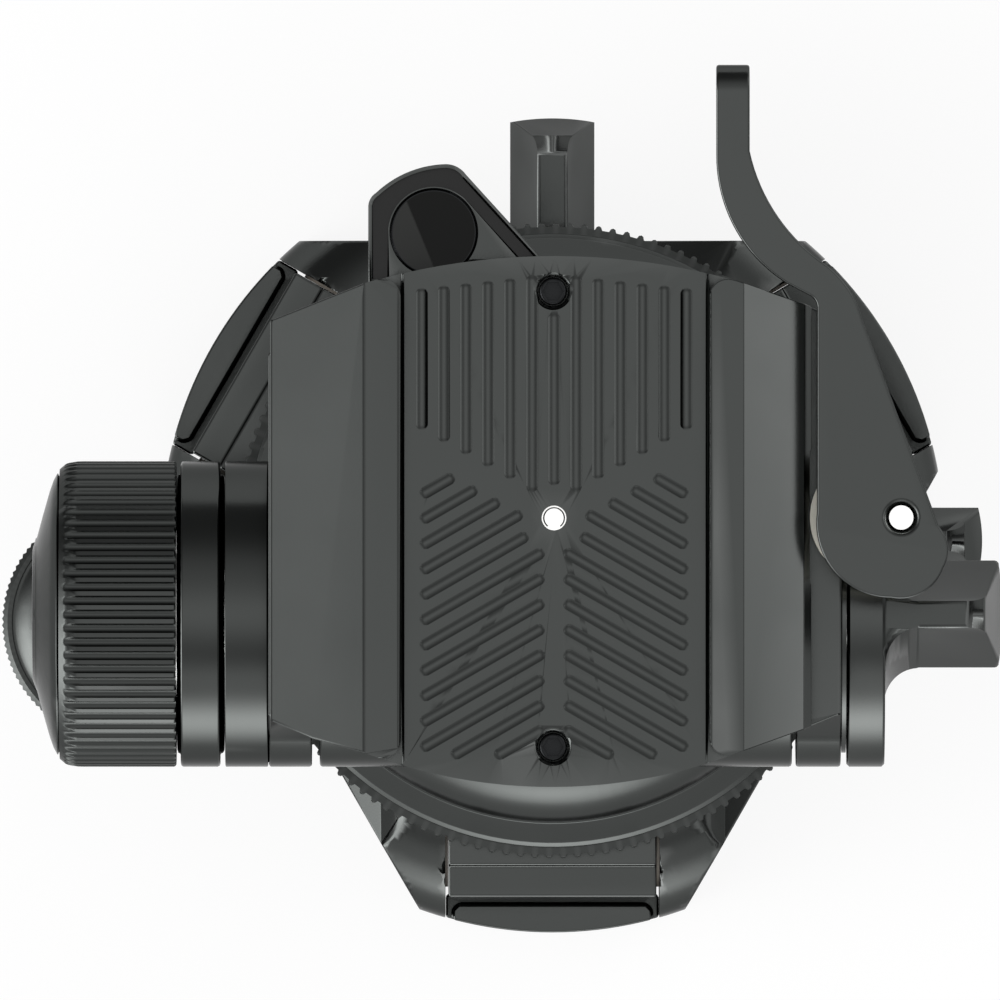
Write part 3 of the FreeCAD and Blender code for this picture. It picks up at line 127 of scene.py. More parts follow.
# %% Anodised aluminium
DYE_CLOUD_MM = 11
RUBBED_TONE = "#9C9E9D"
RUBBED_FROM, RUBBED_FULL, RUBBED_MOST = 0.54, 0.70, 0.30
GLANCING_TINT = (0.5, 0.5, 0.5, 1.0)
CUTTER_RINGS_MM = 0.12


def anodised(name, tone, roughness, grain_mm=0.22, grain_depth_mm=0.004, turned_mm=0.0, axis=0):
    finish, tree, place = start_finish(name)
    grain = add(tree, "ShaderNodeTexNoise", {"Vector": place, "Scale": 1 / (grain_mm * MM), "Detail": 3.0})
    cloud = add(tree, "ShaderNodeTexNoise", {"Vector": place, "Scale": 1 / (DYE_CLOUD_MM * MM), "Detail": 2.0})
    dye = add(tree, "ShaderNodeMix", {"Factor": cloud.outputs["Fac"], "A": light(tone),
                                      "B": [v * 1.10 for v in light(tone)[:3]] + [1.0]}, data_type="RGBA")
    edge = add(tree, "ShaderNodeMapRange", {"Value": add(tree, "ShaderNodeNewGeometry").outputs["Pointiness"],
                                            "From Min": RUBBED_FROM, "From Max": RUBBED_FULL,
                                            "To Min": 0.0, "To Max": RUBBED_MOST})
    rubbed = add(tree, "ShaderNodeMath", {0: edge.outputs[0], 1: cloud.outputs["Fac"]}, operation="MULTIPLY")
    colour = add(tree, "ShaderNodeMix", {"Factor": rubbed.outputs[0], "A": dye.outputs["Result"],
                                         "B": light(RUBBED_TONE)}, data_type="RGBA")
    patch = add(tree, "ShaderNodeMapRange", {"Value": cloud.outputs["Fac"], "From Min": 0.3, "From Max": 0.7,
                                             "To Min": roughness - 0.02, "To Max": roughness + 0.03})
    height = grain.outputs["Fac"]
    if turned_mm:
        along = add(tree, "ShaderNodeSeparateXYZ", {"Vector": place}).outputs[axis]
        pitch = add(tree, "ShaderNodeMath", {0: along, 1: 1 / (turned_mm * MM)}, operation="MULTIPLY")
        rings = add(tree, "ShaderNodeTexNoise", {"W": pitch.outputs[0], "Scale": 1.0, "Detail": 2.0},
                    noise_dimensions="1D")
        height = add(tree, "ShaderNodeMath", {0: rings.outputs["Fac"], 1: grain.outputs["Fac"]},
                     operation="ADD").outputs[0]
    bump = add(tree, "ShaderNodeBump", {"Height": height, "Distance": grain_depth_mm * MM, "Strength": 1.0})
    metal = add(tree, "ShaderNodeBsdfPrincipled", {"Base Color": colour.outputs["Result"], "Metallic": 1.0,
                                                   "Specular Tint": GLANCING_TINT,
                                                   "Roughness": patch.outputs[0], "Normal": bump.outputs[0]})
    end_finish(tree, metal)
    return finish


blasted = anodised("anodised_bead_blasted_aluminium", "#454746", 0.23)
milled = anodised("anodised_milled_aluminium", "#454746", 0.20, grain_mm=0.3, grain_depth_mm=0.002)
turned = anodised("anodised_turned_aluminium", "#444645", 0.20, grain_depth_mm=0.002, turned_mm=CUTTER_RINGS_MM)
faced = anodised("anodised_faced_aluminium", "#444645", 0.20, grain_depth_mm=0.002, turned_mm=CUTTER_RINGS_MM,
                 axis=2)
toothed = anodised("anodised_toothed_aluminium", "#424443", 0.30, grain_depth_mm=0.002)
print("anodised finishes:", blasted.name, milled.name, turned.name, faced.name, toothed.name)

# %% [markdown]
# ### Steel, bronze, black oxide and lining
# Pins are ground and polished bright. Screws are blackened in hot salts, which leaves a dark oily grey.
# Bushes are bearing bronze with bore marks. One recipe serves them all: fine scratches that move the roughness and
# the height, and stains a few millimetres wide that move the colour.


# %% Steel, bronze and black screws
STAIN_MM = 3
SCRATCH_DEPTH_MM = 0.0005


def ground(name, tone, roughness, scratch_mm, metallic=1.0):
    finish, tree, place = start_finish(name)
    line = add(tree, "ShaderNodeTexNoise", {"Vector": place, "Scale": 1 / (scratch_mm * MM), "Detail": 4.0})
    stain = add(tree, "ShaderNodeTexNoise", {"Vector": place, "Scale": 1 / (STAIN_MM * MM)})
    colour = add(tree, "ShaderNodeMix", {"Factor": stain.outputs["Fac"], "A": light(tone),
                                         "B": [v * 0.93 for v in light(tone)[:3]] + [1.0]}, data_type="RGBA")
    rough = add(tree, "ShaderNodeMapRange", {"Value": line.outputs["Fac"], "To Min": roughness * 0.8,
                                             "To Max": roughness * 1.3})
    bump = add(tree, "ShaderNodeBump", {"Height": line.outputs["Fac"], "Distance": SCRATCH_DEPTH_MM * MM})
    body = add(tree, "ShaderNodeBsdfPrincipled", {"Base Color": colour.outputs["Result"], "Metallic": metallic,
                                                  "Roughness": rough.outputs[0], "Normal": bump.outputs[0]})
    end_finish(tree, body)
    return finish


polished = ground("polished_steel", "#F8F8F6", 0.10, 0.25)
drawn = ground("drawn_spring_steel", "#B9BABB", 0.25, 0.15)
bronze = ground("bearing_bronze", "#C8975A", 0.32, 0.2)
oxide = ground("black_oxide_steel", "#2A2B2C", 0.26, 0.2)
lining = ground("filled_plastic_lining", "#5A544C", 0.60, 0.3, metallic=0.0)
acetal = ground("moulded_cream_acetal", "#FFFCEE", 0.42, 0.35, metallic=0.0)
print("metals and plastics:", polished.name, drawn.name, bronze.name, oxide.name, lining.name, acetal.name)

# %% [markdown]
# ### Gloss black with painted shade, and the dark lens with a painted reflection
# The gloss black round the level's boss is painted shade: black paint on the channel's floor stands in for the shade
# that falls deep in the narrow channel. The dark lens is polished. Both mirror the room sharply, so only their thin
# film of handling grease varies the gloss. Across the lens a straight line parts grey from nearly black. That is a
# painted reflection: a tint that changes across a straight line, which looks the same from above and costs no rays.

# %% Glossy black
GREASE_MM = 1.5


def glossy_black(name, tone, roughness):
    finish, tree, place = start_finish(name)
    film = add(tree, "ShaderNodeTexNoise", {"Vector": place, "Scale": 1 / (GREASE_MM * MM)})
    rough = add(tree, "ShaderNodeMapRange", {"Value": film.outputs["Fac"], "To Min": roughness,
                                             "To Max": roughness * 2})
    deep = add(tree, "ShaderNodeMix", {"Factor": film.outputs["Fac"], "A": light(tone),
                                       "B": [v * 1.3 for v in light(tone)[:3]] + [1.0]}, data_type="RGBA")
    gloss = add(tree, "ShaderNodeBsdfPrincipled", {"Base Color": deep.outputs["Result"], "Specular IOR Level": 0.3,
                                                   "Roughness": rough.outputs[0]})
    end_finish(tree, gloss)
    return finish


# Painted shade: this gloss black stands in for the shade deep in the level's channel.
channel_painted_shade_black = glossy_black("gloss_black_painted_shade", "#171817", 0.08)
print("level:", channel_painted_shade_black.name)

# %% Lens with a painted reflection
# Painted reflection: the direction across the lens and the place of the straight line that parts its two tones.
REFLECTION_ACROSS = (0.925, 0.381, 0.0)
REFLECTION_EDGE_MM = (-0.74, -0.54)


def lens_with_painted_reflection():
    """Dark polished lens with a painted reflection: grey on one side of a straight line, nearly black on the other."""
    finish, tree, place = start_finish("dark_lens_painted_reflection")
    across = add(tree, "ShaderNodeVectorMath", {0: place, 1: REFLECTION_ACROSS}, operation="DOT_PRODUCT")
    edge = add(tree, "ShaderNodeMapRange", {"Value": across.outputs["Value"], "From Min": REFLECTION_EDGE_MM[0] * MM,
                                            "From Max": REFLECTION_EDGE_MM[1] * MM})
    # Painted reflection: grey on one side of the line, nearly black on the other.
    tint = add(tree, "ShaderNodeMix", {"Factor": edge.outputs[0], "A": light("#2F302F"), "B": light("#080908")},
               data_type="RGBA")
    film = add(tree, "ShaderNodeTexNoise", {"Vector": place, "Scale": 1 / (GREASE_MM * MM)})
    rough = add(tree, "ShaderNodeMapRange", {"Value": film.outputs["Fac"], "To Min": 0.03, "To Max": 0.06})
    lens = add(tree, "ShaderNodeBsdfPrincipled", {"Base Color": tint.outputs["Result"], "Specular IOR Level": 0.12,
                                                  "Roughness": rough.outputs[0]})
    end_finish(tree, lens)
    return finish


painted_reflection_lens = lens_with_painted_reflection()
print("lens:", painted_reflection_lens.name)

# %% [markdown]
# ## Skins over the CAD pieces
# A CAD piece arrives as loose triangles with knife-sharp edges. No real edge is sharp: it is broken by a cutter or
# by tumbling, and that narrow round is what catches the light. A copy is merged into one skin, its flat faces are
# joined, and a bevel breaks every sharp edge. Shading is smooth across the small steps of a curve.
#
# A bevel that holds back at its narrowest spot would round nothing here, because a CAD skin always has a short edge
# somewhere. So it never holds back, and a point that it throws too far is put back on the skin it came from. Where
# a piece has many short edges beside long ones, only the long ones are rounded.

# %% Helpers for a piece and its skin
SAME_POINT_MM = 0.0004
FLAT_DEGREES = 0.4
SHARP_DEGREES, CREASE_DEGREES, FINE_CREASE_DEGREES = 18.0, 38.0, 20.0
STRAY_SHARE = 0.8
SLIVER_MM = 0.003


def stand_in(name, mesh):
    piece = bpy.data.objects.new(name, mesh)
    bpy.context.scene.collection.objects.link(piece)
    return piece


def settle(piece, name):
    """Applies the modifiers: the piece becomes a plain mesh of its own."""
    graph = bpy.context.evaluated_depsgraph_get()
    mesh = bpy.data.meshes.new_from_object(piece.evaluated_get(graph))
    mesh.name = name
    old = piece.data
    piece.modifiers.clear()
    piece.data = mesh
    bpy.data.meshes.remove(old)


def merged_copy(node, join_flats=True):
    """One closed skin from a CAD node's loose triangles, with its flat faces joined."""
    mesh = frame["nodes"][node].data.copy()
    skin = bmesh.new()
    skin.from_mesh(mesh)
    bmesh.ops.remove_doubles(skin, verts=skin.verts, dist=SAME_POINT_MM * MM)
    if join_flats:
        bmesh.ops.dissolve_limit(skin, angle_limit=math.radians(FLAT_DEGREES), verts=skin.verts, edges=skin.edges)
    skin.to_mesh(mesh)
    skin.free()
    mesh.materials.clear()
    return mesh


print("points closer than", SAME_POINT_MM, "mm are one point")


# %% Helpers for broken edges
def mark_long_edges(mesh, shortest_mm):
    """Gives a bevel weight to the sharp edges that are long enough to be rounded cleanly."""
    skin = bmesh.new()
    skin.from_mesh(mesh)
    long_sharp = [edge.is_manifold and edge.calc_face_angle() > math.radians(SHARP_DEGREES)
                  and edge.calc_length() > shortest_mm * MM for edge in skin.edges]
    skin.free()
    weights = mesh.attributes.new("bevel_weight_edge", "FLOAT", "EDGE")
    weights.data.foreach_set("value", [float(chosen) for chosen in long_sharp])
    return sum(long_sharp)


def break_edges(piece, width_mm, shortest_mm=0.0, crease=CREASE_DEGREES):
    """Rounds the sharp edges, or only the long ones, then shades the piece smooth."""
    skin = bmesh.new()
    skin.from_mesh(piece.data)
    before = BVHTree.FromBMesh(skin)
    skin.free()
    if shortest_mm:
        print("edges broken on", piece.name, mark_long_edges(piece.data, shortest_mm))
    bevel = piece.modifiers.new("broken edge", "BEVEL")
    bevel.width = width_mm * MM
    bevel.segments = 2
    bevel.limit_method = "WEIGHT" if shortest_mm else "ANGLE"
    bevel.angle_limit = math.radians(SHARP_DEGREES)
    bevel.use_clamp_overlap = False
    bevel.miter_outer = "MITER_ARC"
    settle(piece, piece.data.name)
    for vert in piece.data.vertices:
        spot = before.find_nearest(vert.co)[0]
        if (spot - vert.co).length > STRAY_SHARE * width_mm * MM:
            vert.co = spot
    shade(piece, crease)


def seal(piece):
    """Joins points that a boolean left a hair apart, and fills the slivers between them, so that the skin closes."""
    skin = bmesh.new()
    skin.from_mesh(piece.data)
    bmesh.ops.remove_doubles(skin, verts=skin.verts, dist=SLIVER_MM * MM)
    bmesh.ops.dissolve_degenerate(skin, dist=SLIVER_MM * MM, edges=skin.edges)
    bmesh.ops.holes_fill(skin, edges=[edge for edge in skin.edges if edge.is_boundary], sides=0)
    bmesh.ops.recalc_face_normals(skin, faces=skin.faces)
    skin.to_mesh(piece.data)
    skin.free()


def shade(piece, crease=CREASE_DEGREES):
    """Smooth over the small steps of a curve, sharp at a crease, and even over a flat face."""
    piece.data.shade_smooth()
    piece.data.set_sharp_from_angle(angle=math.radians(crease))
    even = piece.modifiers.new("even normals", "WEIGHTED_NORMAL")
    even.keep_sharp = True
    settle(piece, piece.data.name)


print("edges sharper than", SHARP_DEGREES, "degrees are broken")

# %% Helpers that put a piece in its place
DRESSED = set()


def hand_over(piece, finish, *nodes):
    """Gives the piece its finish, hides the CAD nodes it stands for and lets it ride on their body."""
    if finish:
        piece.data.materials.clear()
        piece.data.materials.append(finish)
    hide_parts(*nodes)
    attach(piece, BODY_OF[nodes[0]])
    DRESSED.update(nodes)
    print(piece.name, len(piece.data.polygons), "faces, rides on", BODY_OF[nodes[0]])


def dress(node, finish, width_mm=0.25, shortest_mm=0.0, crease=CREASE_DEGREES):
    piece = stand_in(node + "_dressed", merged_copy(node))
    break_edges(piece, width_mm, shortest_mm=shortest_mm, crease=crease)
    hand_over(piece, finish, node)
    return piece


print("bodies to ride on:", len(set(BODY_OF.values())))

# %% [markdown]
# ### Leg hub, leg tops and catches
# The hub is milled from a billet and blasted, and its long edges are broken 0.25 mm wide. The leg tops are made the
# same way. The catches slide, so their edges are broken wider, to run in without scraping.

# %% Dress the hub and what hangs on it
dress("hub", blasted, 0.25, shortest_mm=1.0)
for number in (1, 2, 3):
    dress(f"leg_top_{number}", blasted, 0.25)
    dress(f"angle_catch_{number}", milled, 0.3)

# %% [markdown]
# ### Tilt block, saddle and mounts
# These are the large pieces of the head, milled or turned. Edges that a hand meets are broken 0.25 to 0.3 mm wide,
# and those that fit against another piece only 0.1 mm. The jaw's slopes meet at small angles, so its creases are
# kept sharper than those of the others.

# %% Dress the large pieces
dress("tilt_block", blasted, 0.3)
dress("saddle", blasted, 0.25)
dress("pan_rotor", faced, 0.12)
dress("handle_mount", blasted, 0.3)
bracket = dress("level_bracket", blasted, 0.12, shortest_mm=3.0)
dress("movable_jaw", milled, 0.1, crease=FINE_CREASE_DEGREES)
dress("cam_lever", milled, 0.25)

# %% [markdown]
# ### Painted shade in the level's channel
# A channel runs round the level's boss, and its bottom is painted black as painted shade for the deep channel. It is
# a second finish on the same piece, on the faces that look up at the channel's height, and not a piece of its own.

# %% Paint shade into the channel of the level bracket
CHANNEL_DEEP_MM = 4.0
channel_z = max(v.co.z for v in bracket.data.vertices) - CHANNEL_DEEP_MM * MM
# Painted shade: the gloss black goes on the faces of the channel's floor.
bracket.data.materials.append(channel_painted_shade_black)
for face in bracket.data.polygons:
    if face.normal.z > 0.9 and abs(face.center.z - channel_z) < 0.1 * MM:
        face.material_index = 1
print("channel faces:", sum(face.material_index for face in bracket.data.polygons))

# %% [markdown]
# ### Rings and cap on the tilt axis
# A lathe turns these three. Their rims are broken with a file while they spin: 0.3 mm on the two that are gripped,
# and 0.12 mm on the housing, whose rims close up against its neighbours.

# %% Dress the rings and the cap on the tilt axis
dress("drag_housing", turned, 0.12)
dress("drag_collar", turned, 0.3)
dress("drag_knob_cap", turned, 0.3)

# %% [markdown]
# ### Wing knobs
# Each wing knob is a faceted bar that fingers turn, so its edges are broken widest. The short edges where three
# facets meet stay as they are, because a wide round has no room there.

# %% Dress the wing knobs
dress("tilt_lock_knob", blasted, 0.4, shortest_mm=1.2)
dress("pan_lock_knob", blasted, 0.3, shortest_mm=1.2)
dress("base_lock_knob", blasted, 0.4, shortest_mm=1.2)

# %% [markdown]
# ### What a lathe and an indexing head make
# The ribbed knob, the two toothed rings and the socket screws are all one idea: a profile turned round an axis, cut
# by a tool that comes in at equal steps. They could be booleans with a hundred cutters, which is slow and leaves
# ragged meshes. Instead a grid is wrapped round the axis: its rows follow the profile, its columns the tooth, and
# where the tool has been, the radius is the smaller of the two. The guide mesh holds three lists of points: the
# profile (radius, place along the axis, 1 where the tool cuts), one tooth (share of the pitch, radius), and the
# places where the turned piece goes.


# %% Helpers for Geometry Nodes
def start_maker(name, *inputs):
    tree = bpy.data.node_groups.new(name, "GeometryNodeTree")
    for title, kind in inputs:
        tree.interface.new_socket(title, in_out="INPUT", socket_type=kind)
    tree.interface.new_socket("Geometry", in_out="OUTPUT", socket_type="NodeSocketGeometry")
    return tree, add(tree, "NodeGroupInput").outputs


def end_maker(tree, shape, finish):
    """Every maker ends alike: real geometry instead of instances, and its finish."""
    real = add(tree, "GeometryNodeRealizeInstances", {"Geometry": shape})
    coated = add(tree, "GeometryNodeSetMaterial", {"Geometry": real.outputs[0], "Material": finish})
    add(tree, "NodeGroupOutput", {"Geometry": coated.outputs[0]})


def make_with(tree, name, guide, values):
    """Runs a maker on a guide mesh with the given inputs and keeps the result as a plain mesh."""
    piece = stand_in(name, guide)
    maker = piece.modifiers.new(tree.name, "NODES")
    maker.node_group = tree
    for socket in tree.interface.items_tree:
        if socket.in_out == "INPUT" and socket.name in values:
            maker[socket.identifier] = values[socket.name]
    settle(piece, name)
    shell = bmesh.new()
    shell.from_mesh(piece.data)
    bmesh.ops.recalc_face_normals(shell, faces=shell.faces)
    open_edges = sum(not edge.is_manifold for edge in shell.edges)
    shell.to_mesh(piece.data)
    shell.free()
    print(name, len(piece.data.polygons), "faces,", open_edges, "open edges")
    return piece


print("helpers ready")

# %% The maker of milled rounds
WELD_MM = 0.0002


def milled_round_maker():
    tree, given = start_maker("milled_round", ("Geometry", "NodeSocketGeometry"), ("Profile points", "NodeSocketInt"),
                              ("Tooth points", "NodeSocketInt"), ("Teeth", "NodeSocketInt"),
                              ("Turn", "NodeSocketRotation"), ("Finish", "NodeSocketMaterial"))
    profile_count, tooth_count = given["Profile points"], given["Tooth points"]
    columns = add(tree, "FunctionNodeIntegerMath", {0: given["Teeth"], 1: tooth_count, 2: 1},
                  operation="MULTIPLY_ADD").outputs[0]
    rows = add(tree, "FunctionNodeIntegerMath", {0: profile_count, 1: 1}, operation="ADD").outputs[0]
    grid = add(tree, "GeometryNodeMeshGrid", {"Vertices X": columns, "Vertices Y": rows})
    index = add(tree, "GeometryNodeInputIndex").outputs[0]
    column = add(tree, "FunctionNodeIntegerMath", {0: index, 1: rows}, operation="DIVIDE").outputs[0]
    row = add(tree, "FunctionNodeIntegerMath", {0: index, 1: rows}, operation="MODULO").outputs[0]
    step = add(tree, "FunctionNodeIntegerMath", {0: row, 1: profile_count}, operation="MODULO").outputs[0]
    tooth = add(tree, "FunctionNodeIntegerMath", {0: column, 1: tooth_count}, operation="DIVIDE").outputs[0]
    in_tooth = add(tree, "FunctionNodeIntegerMath", {0: column, 1: tooth_count}, operation="MODULO").outputs[0]
    tooth_index = add(tree, "FunctionNodeIntegerMath", {0: in_tooth, 1: profile_count}, operation="ADD").outputs[0]
    spot = add(tree, "GeometryNodeInputPosition").outputs[0]
    read = [add(tree, "GeometryNodeSampleIndex", {"Geometry": given["Geometry"], "Value": spot, "Index": which},
                data_type="FLOAT_VECTOR").outputs[0] for which in (step, tooth_index)]
    radius, along, cut = add(tree, "ShaderNodeSeparateXYZ", {"Vector": read[0]}).outputs
    share, tool, _ = add(tree, "ShaderNodeSeparateXYZ", {"Vector": read[1]}).outputs
    over = add(tree, "ShaderNodeMath", {0: radius, 1: tool}, operation="SUBTRACT").outputs[0]
    over = add(tree, "ShaderNodeMath", {0: over, 1: 0.0}, operation="MAXIMUM").outputs[0]
    over = add(tree, "ShaderNodeMath", {0: over, 1: cut}, operation="MULTIPLY").outputs[0]
    reach = add(tree, "ShaderNodeMath", {0: radius, 1: over}, operation="SUBTRACT").outputs[0]
    turns = add(tree, "ShaderNodeMath", {0: tooth, 1: share}, operation="ADD").outputs[0]
    turns = add(tree, "ShaderNodeMath", {0: turns, 1: given["Teeth"]}, operation="DIVIDE").outputs[0]
    angle = add(tree, "ShaderNodeMath", {0: turns, 1: math.tau}, operation="MULTIPLY").outputs[0]
    sides = []
    for wave in ("COSINE", "SINE"):
        swing = add(tree, "ShaderNodeMath", {0: angle}, operation=wave).outputs[0]
        sides.append(add(tree, "ShaderNodeMath", {0: swing, 1: reach}, operation="MULTIPLY").outputs[0])
    place = add(tree, "ShaderNodeCombineXYZ", {0: sides[0], 1: sides[1], 2: along}).outputs[0]
    wrapped = add(tree, "GeometryNodeSetPosition", {"Geometry": grid.outputs[0], "Position": place}).outputs[0]
    closed = add(tree, "GeometryNodeMergeByDistance", {"Geometry": wrapped, "Distance": WELD_MM * MM}).outputs[0]
    turned_piece = add(tree, "GeometryNodeTransform", {"Geometry": closed, "Rotation": given["Turn"]}).outputs[0]
    before = add(tree, "FunctionNodeIntegerMath", {0: profile_count, 1: tooth_count}, operation="ADD").outputs[0]
    is_place = add(tree, "FunctionNodeCompare", {"A": index, "B": before}, data_type="INT",
                   operation="GREATER_EQUAL").outputs[0]
    placed = add(tree, "GeometryNodeInstanceOnPoints", {"Points": given["Geometry"], "Selection": is_place,
                                                        "Instance": turned_piece}).outputs[0]
    end_maker(tree, placed, given["Finish"])
    return tree


MILLED_ROUND = milled_round_maker()


def milled_round(name, profile, tooth, teeth, places, finish, turn=(0.0, 0.0, 0.0)):
    """A turned piece with teeth or a socket; sizes and places in millimetres, profile and tooth as lists."""
    points = [(radius * MM, along * MM, cut) for radius, along, cut in profile]
    points += [(share, radius * MM, 0.0) for share, radius in tooth]
    points += [[v * MM for v in place] for place in places]
    guide = bpy.data.meshes.new(name)
    guide.from_pydata(points, [], [])
    piece = make_with(MILLED_ROUND, name, guide, {"Profile points": len(profile), "Tooth points": len(tooth),
                                                  "Teeth": teeth, "Turn": turn, "Finish": finish})
    shade(piece)
    return piece


print("maker:", MILLED_ROUND.name, "with", len(MILLED_ROUND.nodes), "nodes")

# %% [markdown]
# ### The ribbed knob
# Sixty-nine flutes run along the drum and run out on its rounded shoulder. A ball-nosed cutter made them, so each
# one is a round hollow with a narrow flat land between it and the next.

# %% Ribbed knob
TILT_Y, TILT_Z = -7.83, 64.0
KNOB_R, FLUTE_R, FLUTES = 16.35, 0.52, 69
FLUTE_CENTRE = KNOB_R + 0.15 * FLUTE_R


def flute():
    """Points across one flute and its land, as (share of the pitch, radius)."""
    points = []
    for degrees in (-80, -62, -40, -14, 14, 40, 62, 80):
        swing = math.radians(degrees)
        x, y = FLUTE_CENTRE - FLUTE_R * math.cos(swing), FLUTE_R * math.sin(swing)
        points.append((math.atan2(y, x) * FLUTES / math.tau, math.hypot(x, y)))
    return points


KNOB_SHELL = [(13.6, -40.26, 0), (16.08, -40.26, 1), (16.26, -40.35, 1), (16.35, -40.53, 1), (16.35, -50.3, 1),
              (16.33, -50.8, 1), (16.25, -51.3, 1), (16.19, -51.7, 1), (16.1, -52.0, 1), (16.0, -52.17, 1),
              (15.88, -52.3, 1), (15.7, -52.52, 1), (15.5, -52.75, 0), (14.7, -52.75, 0), (14.7, -51.9, 0),
              (7.0, -51.9, 0), (7.0, -50.0, 0), (13.6, -50.0, 0)]
knob = milled_round("drag_knob_ribbed", [(radius, -x, cut) for radius, x, cut in KNOB_SHELL], flute(), FLUTES,
                    [(0, TILT_Y, TILT_Z)], toothed, turn=(0.0, -math.pi / 2, 0.0))
hand_over(knob, None, "drag_knob")

# %% [markdown]
# ### The pan drag ring and the handle's collar
# The drag ring under the rotor has square-shouldered teeth to push with a finger, and the collar that locks the
# handle has a shallow straight knurl. Their upper corners are turned off, so the teeth fade out on a chamfer.

# %% The pan drag ring
RING_TEETH = 138
RING_SECTION = [(28.1, 35.3, 0), (33.9, 35.3, 1), (34.2, 35.6, 1), (34.2, 38.0, 1), (34.0, 38.2, 1), (28.1, 38.2, 0)]
RING_TOOTH = [(0.0, 33.75), (0.1, 34.09), (0.26, 34.2), (0.42, 34.09), (0.52, 33.75)]
ring = milled_round("pan_drag_ring_toothed", RING_SECTION, RING_TOOTH, RING_TEETH, [(0, 0, 0)], toothed)
hand_over(ring, None, "pan_drag_ring")

# %% The handle's collar
COLLAR_TEETH = 110
COLLAR_BORE, COLLAR_FACE, COLLAR_RIM, COLLAR_CHAMFER = 8.0 + 0.05, 12.3, 12.9, 0.6
COLLAR_TOOTH = [(0.0, 12.7), (0.5, COLLAR_RIM)]
HANDLE_AXIS = (-46.3, -8.75, 0)
low_z, high_z = (corner.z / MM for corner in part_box("handle_lock_collar"))
collar_section = [(COLLAR_BORE, low_z, 0), (COLLAR_FACE, low_z, 1), (COLLAR_RIM, low_z + COLLAR_CHAMFER, 1),
                  (COLLAR_RIM, high_z - COLLAR_CHAMFER, 1), (COLLAR_FACE, high_z, 1), (COLLAR_BORE, high_z, 0)]
collar = milled_round("handle_collar_knurled", collar_section, COLLAR_TOOTH, COLLAR_TEETH, [HANDLE_AXIS], toothed)
hand_over(collar, None, "handle_lock_collar")

# %% [markdown]
# ### Socket screws
# Two black socket screws hold the clamp. The hexagon socket is the same milled round: six teeth whose tool radius is
# the hexagon's own, cutting only inside the socket.

# %% Socket screws
HEX = [(quarter / 4, 1.0 / math.cos(math.radians(30 - 15 * (quarter % 4)))) for quarter in range(4)]
SCREW_FRONT_Y, SCREW_REAR_Y = 26.6, -21.94
SCREW_SECTION = [(0, 80.8, 0), (1.25, 80.8, 0), (1.25, 83.2, 0), (1.5, 83.2, 0), (1.5, 86.78, 0), (1.44, 86.93, 0),
                 (1.27, 87.03, 0), (1.2, 87.05, 0), (1.2, 87.05, 1), (1.2, 85.25, 1), (0, 85.25, 0)]
screws = milled_round("clamp_screws_socket", SCREW_SECTION, HEX, 6,
                      [(0, SCREW_FRONT_Y, 0), (0, SCREW_REAR_Y, 0)], oxide)
hand_over(screws, None, "clamp_screws")
print("socket across its flats in mm:", 2 * min(radius for _, radius in HEX))

# %% [markdown]
# ### The clamp's grooved floor
# A ball-ended cutter mills shallow rounded grooves into the clamp's floor: straight ones in front, slanted ones that
# meet along the middle behind. Only a rounded hollow shows the bright and dark lines of the real one, so the flat
# grooves of the solid are filled in first. Then a maker lays a round-ended cutter along each groove's line and a
# boolean takes them all out at once.

# %% Lines of the grooves
PIN_STANDS_MM = 1.6
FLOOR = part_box("locating_pin")[1].z / MM - PIN_STANDS_MM
GROOVE_HALF, PITCH, GROOVES = 0.66, 2.348, 13
BALL = 1.35
GROOVE_DEPTH = BALL - math.sqrt(BALL ** 2 - GROOVE_HALF ** 2)
LEFT_GROOVE = -13.97
FRONT_Y, FRONT_STEP = 28.35, 0.26
REAR_Y, REAR_STEP = 5.2, 1.31
SCREW_CLEAR, PIN_Y = 2.2, 2.45
SLANT_DEGREES, SLANTS, SLANT_Y, SLANT_STEP = 30, 14, 7.5, 2.70
FLOOR_HALF, FLOOR_REAR_Y = 14.3, -23.0


def groove_lines():
    """The two axis ends of each groove, in millimetres."""
    lines = []
    middle_groove = GROOVES // 2
    for n in range(GROOVES):
        away = abs(n - middle_groove)
        front, rear = FRONT_Y - FRONT_STEP * (away - 1), REAR_Y + REAR_STEP * (away - 1)
        if away == 0:
            front, rear = SCREW_FRONT_Y - SCREW_CLEAR, PIN_Y + SCREW_CLEAR + 1.17
        x = LEFT_GROOVE + PITCH * n
        lines.append(((x, front - GROOVE_HALF), (x, rear + GROOVE_HALF)))
    middle, slope = LEFT_GROOVE + PITCH * middle_groove, math.tan(math.radians(SLANT_DEGREES))
    round_end = GROOVE_HALF * math.cos(math.radians(SLANT_DEGREES))
    for n in range(SLANTS):
        start = SLANT_Y - SLANT_STEP * n
        near = max(1.0, (start + slope * FLOOR_HALF - 1.25) / (slope + 0.541))
        if start + slope * (FLOOR_HALF - near) > PIN_Y - 3.4:
            near = max(near, 2.7)
        far = min(FLOOR_HALF, FLOOR_HALF - (FLOOR_REAR_Y - start) / slope)
        near, far = near + round_end, far - round_end
        if far - near > GROOVE_HALF:
            ends = [(reach, start + slope * (FLOOR_HALF - reach)) for reach in (near, far)]
            lines += [[(middle + side * x, y) for x, y in ends] for side in (-1, 1)]
    return lines


LINES = groove_lines()
print(len(LINES), "grooves, cut with a ball of radius", round(BALL, 3), "mm")

# %% The maker of round-ended cutters
THINNEST_SHARE = 0.0001
CUTTER_WELD_MM = 0.0005


